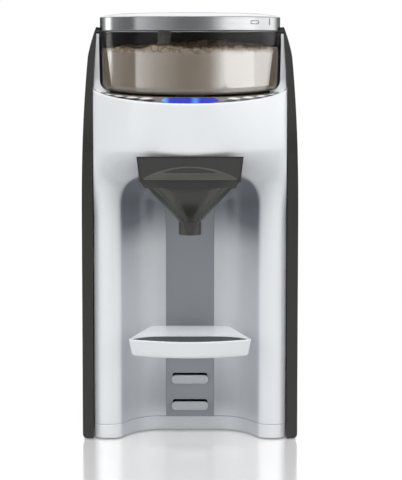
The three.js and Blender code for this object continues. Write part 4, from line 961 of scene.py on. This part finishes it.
# Everything else that is a plain moulding: its CAD solid with rounded edges, as
# (slot, rounding, nodes)
plainParts = [
    ("black_plastic", 0.3, "base_plate"),
    ("rubber", 0.6, "front_left_foot front_right_foot rear_left_foot rear_right_foot"),
    ("steel", 0.2, "base_screw_1 base_screw_2 base_screw_3 base_screw_4 rear_screw_1 rear_screw_2"),
    ("dark_panel", 0.8, "rear_cover"),
    ("rubber", 0.5, "cord_gland"),
    ("acetal", 0.4, "dosing_wheel stirrer"),
    ("acetal", 0.3, "drive_spindle"),
    ("acetal", 0.1, "spindle_gear motor_pinion"),
    ("pale_grey_plastic", 0.3, "gearbox_plate"),
    ("steel", 0.5, "drive_motor"),
    ("pale_grey_plastic", 0.3, "powder_chute"),
    ("white_shell", 0.5, "tank_seat"),
    ("clear_plastic", 1.0, "water_tank"),
    ("dark_panel", 0.8, "tank_lid"),
    ("steel", 0.2, "tank_hinge_pin"),
    ("pale_grey_plastic", 0.3, "tank_valve"),
    ("silicone", 0.3, "valve_gasket"),
    ("black_plastic", 0.6, "water_pump"),
    ("steel", 0.6, "water_heater"),
    ("silicone", 0.0, "tank_hose pump_hose nozzle_hose"),
    ("pale_grey_plastic", 0.3, "water_nozzle"),
    ("circuit_board", 0.2, "power_board"),
    ("black_plastic", 0.5, "control_bezel"),
    ("black_plastic", 0.3, "display_window"),
    ("pale_grey_plastic", 0.4, "power_button start_button minus_button temperature_button plus_button"),
    ("circuit_board", 0.2, "control_board"),
]
for slot, edge, members in plainParts:
    for node in members.split():
        moulding = solidOf(node)
        if edge:
            soften(moulding, edge, segments=2)
        addEven(node + "_body", moulding, bodyOf[node], slot, (node,))

cradleChange = dict(deckTop=301, frontOf=-60, deckDrop=4.2, wingFront=-49.0, dividerFrom=350,
                    dividerBehind=34, dividerRise=7.6)


def makeCradle():
    # the deck drops a little in front, under the dipping collar, the wings start behind
    # the white cheeks, and the divider reaches up behind the container
    c = cradleChange
    mesh = solidOf("container_cradle")
    for vert in mesh.verts:
        if vert.co.z < c["deckTop"] and vert.co.y < c["frontOf"]:
            vert.co.z -= c["deckDrop"]
        elif vert.co.z > c["deckTop"] and vert.co.y < c["frontOf"]:
            vert.co.y = c["wingFront"]
        if vert.co.z > c["dividerFrom"] and vert.co.y > c["dividerBehind"]:
            vert.co.z += c["dividerRise"]
    return soften(mesh, 0.3)


addEven("cradle_body", makeCradle(), "housing", "black_plastic", ("container_cradle",))
print("plain mouldings ready")

# Slot plate at the back of the bay: three height slots, each over a dished lozenge lip
slotPlate = dict(
    half=21.3, low=13.4, high=210.0, front=-50.0, back=-47.0, flange=24.0, flangeBack=-45.8,
    slots=(26.0, 50.0, 74.0), slotHalf=15.6, slotHeight=5.6, slotRound=2.0, lipHalf=16.4, lipHeight=7.6,
    lipDrop=3.0, lipReach=2.4, lipRim=1.2, lipDip=0.8, sunk=0.4,
)


def makeLip(z):
    s = slotPlate
    half = s["lipHeight"] / 2
    mesh = slab(rounded(s["lipHalf"], half, half - 0.1, 0, z - s["lipDrop"]),
                frontAt(s["front"] + s["sunk"]), (0, -s["lipReach"] - s["sunk"], 0))
    face = min(mesh.faces, key=lambda each: each.calc_center_median().y)
    bmesh.ops.inset_region(
        mesh, faces=[face], thickness=s["lipRim"], depth=-s["lipDip"], use_even_offset=True)
    return soften(mesh, 0.25, 40, 2)


def makeSlotPlate():
    # the plate, and a wider flange behind it that the shell's opening hides
    s = slotPlate
    middle, reach = (s["high"] + s["low"]) / 2, (s["high"] - s["low"]) / 2
    layers = []
    for half, front, back in ((s["half"], s["front"], s["back"]),
                              (s["flange"], s["back"] - 0.3, s["flangeBack"])):
        slots = [slab(rounded(s["slotHalf"], s["slotHeight"] / 2, s["slotRound"], 0, z),
                      frontAt(front - 1), (0, back - front + 2, 0)) for z in s["slots"]]
        sheet = slab(rounded(half, reach, 0, 0, middle), frontAt(front), (0, back - front, 0))
        layers.append(cutBy(sheet, *slots))
    return joined(*layers)


addEven("slot_plate_body", makeSlotPlate(), "housing", "pale_grey_plastic", ("bay_slot_plate",),
        finish="bay_grey")
addEven("slot_lips", joined(*[makeLip(z) for z in slotPlate["slots"]]), "housing", "pale_grey_plastic")
print("slot plate ready")

# Funnel: a dark smoke plate with an arched relief, a tapered skirt, the cone and its spout
funnelShape = dict(
    topHalf=45.2, topZ=253.6, lowHalf=43.0, lowZ=233.2, cornerZ=236.2, cornerHalf=41.2,
    frontY=-134.2, plateBack=-131.2, tubTop=246.0, skirtHalf=38.5, skirtZ=226.4, skirtTop=234.0,
    skirtShort=0.95, backY=-59.5, coneRadius=42.5, coneTop=226.6, coneLow=195.2, squash=0.84,
    dropY=-95.0, spoutRadius=9.9, spoutInner=7.2, spoutLow=183.4, rim=1.2,
    # half width, foot, end and top of the relief's outline and of the lens on it
    arch=(39.6, 233.8, 235.2, 245.4), archProud=0.35, lens=(22.5, 240.0, 240.1, 244.2),
)


def archPoints(half, low, end, top, steps=16):
    line = [(-half, low), (half, low)]
    for i in range(steps + 1):
        across = 1 - 2 * i / steps
        line.append((half * across, end + (top - end) * (1 - across * across) ** 0.9))
    return line


def makeFunnelBody():
    f = funnelShape
    outline = [(-f["lowHalf"], f["backY"]), (f["lowHalf"], f["backY"]),
               (f["lowHalf"], f["plateBack"]), (-f["lowHalf"], f["plateBack"])]
    tub = slab(outline, floorAt(f["skirtTop"] - 2), (0, 0, f["tubTop"] - f["skirtTop"] + 2))
    inner = slab([(x * 0.95, y * 0.955 - 4.3) for x, y in outline], floorAt(f["skirtTop"]),
                 (0, 0, 30.0))
    tub = soften(cutBy(tub, inner), 0.4)
    skirtMesh = slab(outline, floorAt(f["skirtTop"]), (0, 0, f["skirtZ"] - f["skirtTop"]))
    for vert in skirtMesh.verts:
        if vert.co.z < f["skirtZ"] + 0.1:
            vert.co.x *= f["skirtHalf"] / f["lowHalf"]
            vert.co.y = f["dropY"] + (vert.co.y - f["dropY"]) * f["skirtShort"]
    hole = lathe([(0, 220), (f["coneRadius"] - 5, 220), (f["coneRadius"] - 4, 240), (0, 240)],
                 (0, 0), 96)
    bmesh.ops.scale(hole, vec=(1, f["squash"], 1), verts=hole.verts)
    skirtMesh = soften(cutBy(skirtMesh, shifted(hole, (0, f["dropY"], 0))), 0.5)
    cone = lathe([
        (f["spoutInner"], f["spoutLow"]), (f["spoutRadius"], f["spoutLow"], 0.5),
        (f["spoutRadius"], f["coneLow"], 0.6), (f["spoutRadius"] + 0.8, f["coneLow"] + 0.4, 0.3),
        (f["coneRadius"] - 3.2, f["coneTop"], 0.5), (f["coneRadius"] - 5.4, f["coneTop"], 0.5),
        (f["spoutInner"] + 0.6, f["coneLow"] + 1.6, 1.0),
    ], (0, 0), 128)
    for vert in cone.verts:
        spread = (vert.co.z - f["coneLow"]) / (f["coneTop"] - f["coneLow"])
        vert.co.y *= 1 - (1 - f["squash"]) * min(1.0, max(0.0, spread))
    return joined(tub, skirtMesh, shifted(cone, (0, f["dropY"], 0)))


def plateOutline(less):
    f = funnelShape
    half = [(f["cornerHalf"] - less * 0.7, f["lowZ"] + less),
            (f["lowHalf"] - less, f["cornerZ"] + less * 0.4), (f["topHalf"] - less, f["topZ"] - less)]
    return half + [(-x, z) for x, z in reversed(half)]


def makeFunnelPlate():
    f = funnelShape
    outline = [(x, z, 0.6) for x, z in plateOutline(0.0)]
    return soften(slab(outline, frontAt(f["plateBack"]), (0, f["frontY"] - f["plateBack"], 0)), 0.5, 40)


def makeFunnelEdgeShade():
    # a thin black line round the plate's top and sides: painted shade standing for the plate's shaded top and
    # side faces
    f = funnelShape
    return cutBy(*[
        slab(plateOutline(less), frontAt(f["frontY"] + front), (0, -thick, 0))
        for less, front, thick in ((0.0, 0.1, 0.35), (f["rim"], 1.0, 3.0))])


def makeRelief(outline, sunk, reach, edge, segments):
    # a thin curved form that stands out of the plate
    return soften(slab(archPoints(*outline), frontAt(funnelShape["frontY"] + sunk), (0, -reach, 0)),
                  edge, 40, segments)


def narrowed(node, share):
    mesh = solidOf(node)
    bmesh.ops.scale(mesh, vec=(share, 1, 1), verts=mesh.verts)
    return soften(mesh, 0.3)


addPiece("funnel_body", makeFunnelBody(), "funnel_drawer", "dark_smoke", ("funnel",),
         finish="cone_smoke")
addEven("funnel_plate", makeFunnelPlate(), "funnel_drawer", "dark_smoke")
# black line round the plate: painted shade of its edges
addPiece("funnel_edge_shade", makeFunnelEdgeShade(), "funnel_drawer", "black_plastic")
archProud = funnelShape["archProud"]
addPiece("funnel_arch", makeRelief(funnelShape["arch"], 0.2, archProud + 0.2, 0.2, 2),
         "funnel_drawer", "dark_smoke", finish="smoke_light")
addPiece("funnel_lens", makeRelief(funnelShape["lens"], 0.1 - archProud, 0.25, 0.1, 1),
         "funnel_drawer", "dark_smoke")
addEven("funnel_lid", narrowed("funnel_cover", 0.93), "funnel_drawer", "clear_plastic",
        ("funnel_cover",))
addEven("funnel_slide", narrowed("funnel_dock", 0.885), "housing", "pale_grey_plastic",
        ("funnel_dock",))
print("funnel ready")

# Bottle tray: a thin-lipped shelf on a tongue, with a dark lens-shaped mat let into it
trayShape = dict(
    half=53.0, front=-150.0, cornerY=-136.0, backHalf=34.8, backY=-67.0, backRound=6.0, top=98.4,
    bottom=84.0, cornerRound=4.0, taper=0.955, lean=1.6, leanFrom=-120, lowEdge=2.6, topEdge=0.9,
    matInset=2.2, matBack=-119.0, matHalf=50.2, matTop=98.0, matDepth=1.6, matGap=0.25, steps=16,
    hookFrom=-68.0,
)


def trayLine(half, front, cornerY):
    shares = [-1 + 2 * i / trayShape["steps"] for i in range(trayShape["steps"] + 1)]
    return [(half * share, front + (cornerY - front) * share ** 2) for share in shares]


def makeMat(grow, low, high):
    t = trayShape
    line = trayLine(t["matHalf"] + grow, t["front"] + t["matInset"] - grow,
                    t["cornerY"] + t["matInset"] * 0.6 - grow)
    for i in range(t["steps"] + 1):
        across = 1 - 2 * i / t["steps"]
        line.append(((t["matHalf"] + grow - 2) * across,
                     t["matBack"] + grow - (t["matBack"] - t["cornerY"] - 4) * abs(across) ** 5))
    return slab(line, floorAt(low), (0, 0, high - low))


def makeTrayBody():
    t = trayShape
    line = trayLine(t["half"], t["front"], t["cornerY"])
    corners = [line[0] + (t["cornerRound"],)] + line[1:-1] + [line[-1] + (t["cornerRound"],)]
    corners += [(side * t["backHalf"], t["backY"], t["backRound"]) for side in (1, -1)]
    mesh = slab(corners, floorAt(t["top"]), (0, 0, t["bottom"] - t["top"]))
    for vert in mesh.verts:
        if vert.co.z < t["bottom"] + 0.1:
            vert.co.x *= t["taper"]
            vert.co.y += t["lean"] if vert.co.y < t["leanFrom"] else 0.0
    for level, width in ((t["bottom"], t["lowEdge"]), (t["top"], t["topEdge"])):
        ring = [edge for edge in mesh.edges
                if all(abs(vert.co.z - level) < 0.05 for vert in edge.verts)]
        bevelled(mesh, ring, width, 4)
    return cutBy(mesh, makeMat(t["matGap"], t["matTop"] - t["matDepth"], t["top"] + 2))


def makeTrayHook():
    # the solid's tongue and hooks, behind the shelf
    hook = sliced(solidOf("bottle_tray"), (0, trayShape["hookFrom"], 0), (0, -1, 0), clear_outer=True)
    bmesh.ops.holes_fill(hook, edges=[edge for edge in hook.edges if edge.is_boundary])
    return tidyNormals(hook)


def makePad():
    t = trayShape
    return soften(makeMat(0.0, t["matTop"] - t["matDepth"] + 0.2, t["matTop"]), 0.3, 40, 2)


addEven("tray_shelf", makeTrayBody(), "tray", "white_shell", ("bottle_tray",), 40)
addEven("tray_hook", makeTrayHook(), "tray", "white_shell")
addEven("tray_pad", makePad(), "tray", "tray_rubber", ("tray_mat",))
print("tray ready")

# Small printed marks on the lid: an outline and a tick that meet when it is locked
lidMarks = dict(outlineAngle=43.8, tickAngle=59.2, halfLength=5.0, halfHeight=1.7, line=0.8,
                outlineZ=366.6, tickZ=367.2, tickHalf=0.9, tickHeight=3.0, proud=0.12, sunk=0.02)


def makeLidMarks():
    m = lidMarks
    radius = lidShape["radius"]
    full = slab(rounded(m["halfLength"], m["halfHeight"], m["halfHeight"] * 0.8, 0, m["outlineZ"]),
                frontAt(0), (0, -m["proud"], 0), 3)
    hole = slab(rounded(m["halfLength"] - m["line"], m["halfHeight"] - m["line"], 0.1, 0,
                        m["outlineZ"]), frontAt(1.0), (0, -2.0, 0), 2)
    outline = shifted(cutBy(full, hole), (math.radians(m["outlineAngle"]) * radius, m["sunk"], 0))
    tick = slab(rounded(m["tickHalf"], m["tickHeight"], 0.3, 0, m["tickZ"]), frontAt(0),
                (0, -m["proud"], 0))
    shifted(tick, (math.radians(m["tickAngle"]) * radius, m["sunk"], 0))
    return wrapped(joined(outline, tick), radius)


addPiece("lid_marks", makeLidMarks(), "lid", "black_plastic")

# Generic signs on the buttons of the right side, each at its button's (y, z)
buttonSigns = dict(
    face=94.4, proud=0.25, reach=2.3, line=0.55,
    places=dict(power=(-23, 251), start=(19, 251), minus=(-23, 234), temperature=(-2, 234),
                plus=(19, 234)),
)


def signBar(y, z, halfY, halfZ, corner=0.2):
    b = buttonSigns
    return slab(rounded(halfY, halfZ, corner, y, z), sideAt(b["face"]), (b["proud"], 0, 0), 5)


def makePowerSign(y, z):
    # an open ring with a bar in its gap; the cutters are made to reach through the ring
    b = buttonSigns
    reach, line = b["reach"], b["line"]
    notch = signBar(y, z + reach, line * 2.2, reach * 0.8, 0.0)
    hole = signBar(y, z, reach - line, reach - line, reach - line - 0.01)
    for cutter in (notch, hole):
        bmesh.ops.scale(cutter, vec=(3, 1, 1), space=Matrix.Translation((-b["face"], 0, 0)),
                        verts=cutter.verts)
        shifted(cutter, (-b["proud"], 0, 0))
    ring = cutBy(signBar(y, z, reach, reach, reach - 0.01), notch, hole)
    return joined(ring, signBar(y, z + reach * 0.55, line / 2, reach * 0.55))


def makeSign(word, y, z):
    b = buttonSigns
    reach, line = b["reach"], b["line"]
    if word == "power":
        return makePowerSign(y, z)
    if word == "start":
        back = y - reach * 0.7
        return slab([(back, z - reach, 0.3), (y + reach, z, 0.3), (back, z + reach, 0.3)],
                    sideAt(b["face"]), (b["proud"], 0, 0))
    if word == "temperature":
        return joined(signBar(y, z - reach * 0.55, reach * 0.45, reach * 0.45, reach * 0.44),
                      signBar(y, z + reach * 0.3, line / 2, reach * 0.8))
    bars = [signBar(y, z, reach, line / 2)]
    if word == "plus":
        bars.append(signBar(y, z, line / 2, reach))
    return joined(*bars)


for word, (y, z) in buttonSigns["places"].items():
    addPiece(word + "_sign", makeSign(word, y, z), word + "_button_body", "black_plastic")
print("marks and signs ready")

# Studio: pale floor, white surroundings, soft lamps
studio = dict(
    floorHalf=6.0, floorTone=0.85, floorShine=0.5, floorRough=0.13, floorGlow=0.22, fadeFrom=0.4,
    fadeTo=1.1, farGlow=0.65, farLeast=0.35, roomGrey=0.42, roomPeak=6.0, whiteFrom=0.1, whiteSoft=0.04,
)
# what polished parts see round them: (degrees from the front, brightness)
roomLevels = [
    (-180, 0.1), (-152, 0.1), (-144, 0.6), (-137, 0.8), (-134, 5.0), (-123, 5.0), (-118, 0.9),
    (-90, 0.45), (-75, 0.35), (-72, 2.6), (-45, 1.4), (-12, 0.46), (8, 0.46), (25, 0.9), (36, 2.6),
    (47, 5.0), (88, 5.4), (91, 4.2), (130, 3.4), (146, 0.3), (180, 0.1),
]
pureWhite = (1, 1, 1, 1)


def grey(level):
    return (level,) * 3 + (1.0,)


def makeFloor():
    s = studio
    mesh = bmesh.new()
    bmesh.ops.create_grid(mesh, x_segments=2, y_segments=2, size=s["floorHalf"])
    data = meshData("studioFloor", mesh)
    floor = linked("studioFloor", data)
    made = Finish("studioFloorPaint")
    seen = made.seenBy("Is Camera Ray", "Is Glossy Ray", "Is Transmission Ray")
    lit = made.node("BsdfPrincipled", None, {
        "Base Color": grey(s["floorTone"]), "Roughness": made.noise(3, 2) * 0.04 + s["floorRough"],
        "Metallic": s["floorShine"],
    })
    glow = made.node("Emission", None, {"Color": pureWhite, "Strength": seen * s["floorGlow"]})
    both = made.node("AddShader", None, {0: lit, 1: glow})
    x, y = made.axes()[:2]
    near = ((x * x + y * y) ** 0.5).below(
        (s["fadeFrom"] + s["fadeTo"]) / 2, (s["fadeTo"] - s["fadeFrom"]) / 2)
    white = made.node(
        "Emission", None, {"Color": pureWhite, "Strength": seen * s["farGlow"] + s["farLeast"]})
    shade = made.node("MixShader", None, {0: near, 1: white, 2: both})
    made.node("OutputMaterial", None, {"Surface": shade})
    data.materials.append(made.material)


def makeWorld():
    world = bpy.data.worlds.new("studioAir")
    bpy.context.scene.world = world
    made = Finish("studioAir", world)
    x, y, z = made.axes(made.node("TexCoord", out="Generated"))
    turn = made.node("Math", {"operation": "ARCTAN2"}, {0: x, 1: y * -1.0}) / (2 * math.pi) + 0.5
    # the room as polished parts see it, from behind left, round the front, to behind right
    peak = studio["roomPeak"]
    around = made.node("ValToRGB", {"stops": [
        (0.5 + angle / 360, grey(level / peak)) for angle, level in roomLevels
    ]}, {0: turn})
    around = made.node("VectorMath", {"operation": "SCALE"}, {0: around, "Scale": peak})
    # plain white above, which the floor and the tops of things see
    around = made.blend(z.below(studio["whiteFrom"], studio["whiteSoft"]), pureWhite, around)
    shiny = made.seenBy("Is Glossy Ray", "Is Transmission Ray")
    room = made.blend(shiny, grey(studio["roomGrey"]), around)
    colour = made.blend(made.seenBy("Is Camera Ray"), room, pureWhite)
    back = made.node("Background", None, {"Color": colour, "Strength": 1.0})
    made.node("OutputWorld", None, {"Surface": back})


lamps = {
    # name: (place, target, width, height, watts)
    "topBox": ((0.0, -1.0, 2.0), (0, 0, 0.2), 1.2, 0.8, 26.5),
    "leftPanel": ((-1.7, -0.8, 0.7), (0, 0, 0.2), 0.8, 1.2, 8.5),
    "rightPanel": ((1.7, -0.8, 0.7), (0, 0, 0.2), 0.8, 1.2, 8.0),
    "rearFill": ((0.0, 2.2, 1.4), (0, 0, 0.2), 1.4, 1.0, 16.0),
}


def makeLamps():
    for name, (place, target, width, height, watts) in lamps.items():
        data = bpy.data.lights.new(name, "AREA")
        data.shape = "RECTANGLE"
        data.size, data.size_y, data.energy = width, height, watts
        lamp = linked(name, data)
        lamp.location = place
        lamp.rotation_euler = (Vector(target) - Vector(place)).to_track_quat("-Z", "Y").to_euler()
        lamp.visible_glossy = False
        lamp.visible_camera = False


cameraSet = dict(x=0.0, away=1.564, height=0.352, lens=127.7, tilt=4.8, shiftX=0.0229, shiftY=-0.12,
                 sensor=36.0, nearest=0.05, farthest=30.0)


def makeCamera():
    c = cameraSet
    data = bpy.data.cameras.new("frontCamera")
    data.lens, data.sensor_width = c["lens"], c["sensor"]
    data.shift_x, data.shift_y = c["shiftX"], c["shiftY"]
    data.clip_start, data.clip_end = c["nearest"], c["farthest"]
    camera = linked("frontCamera", data)
    camera.location = (c["x"], -c["away"], c["height"])
    camera.rotation_euler = (math.radians(90 - c["tilt"]), 0, 0)
    bpy.context.scene.camera = camera


makeFloor()
makeWorld()
makeLamps()
makeCamera()
bpy.context.scene.view_settings.view_transform = "Standard"
print("studio ready")
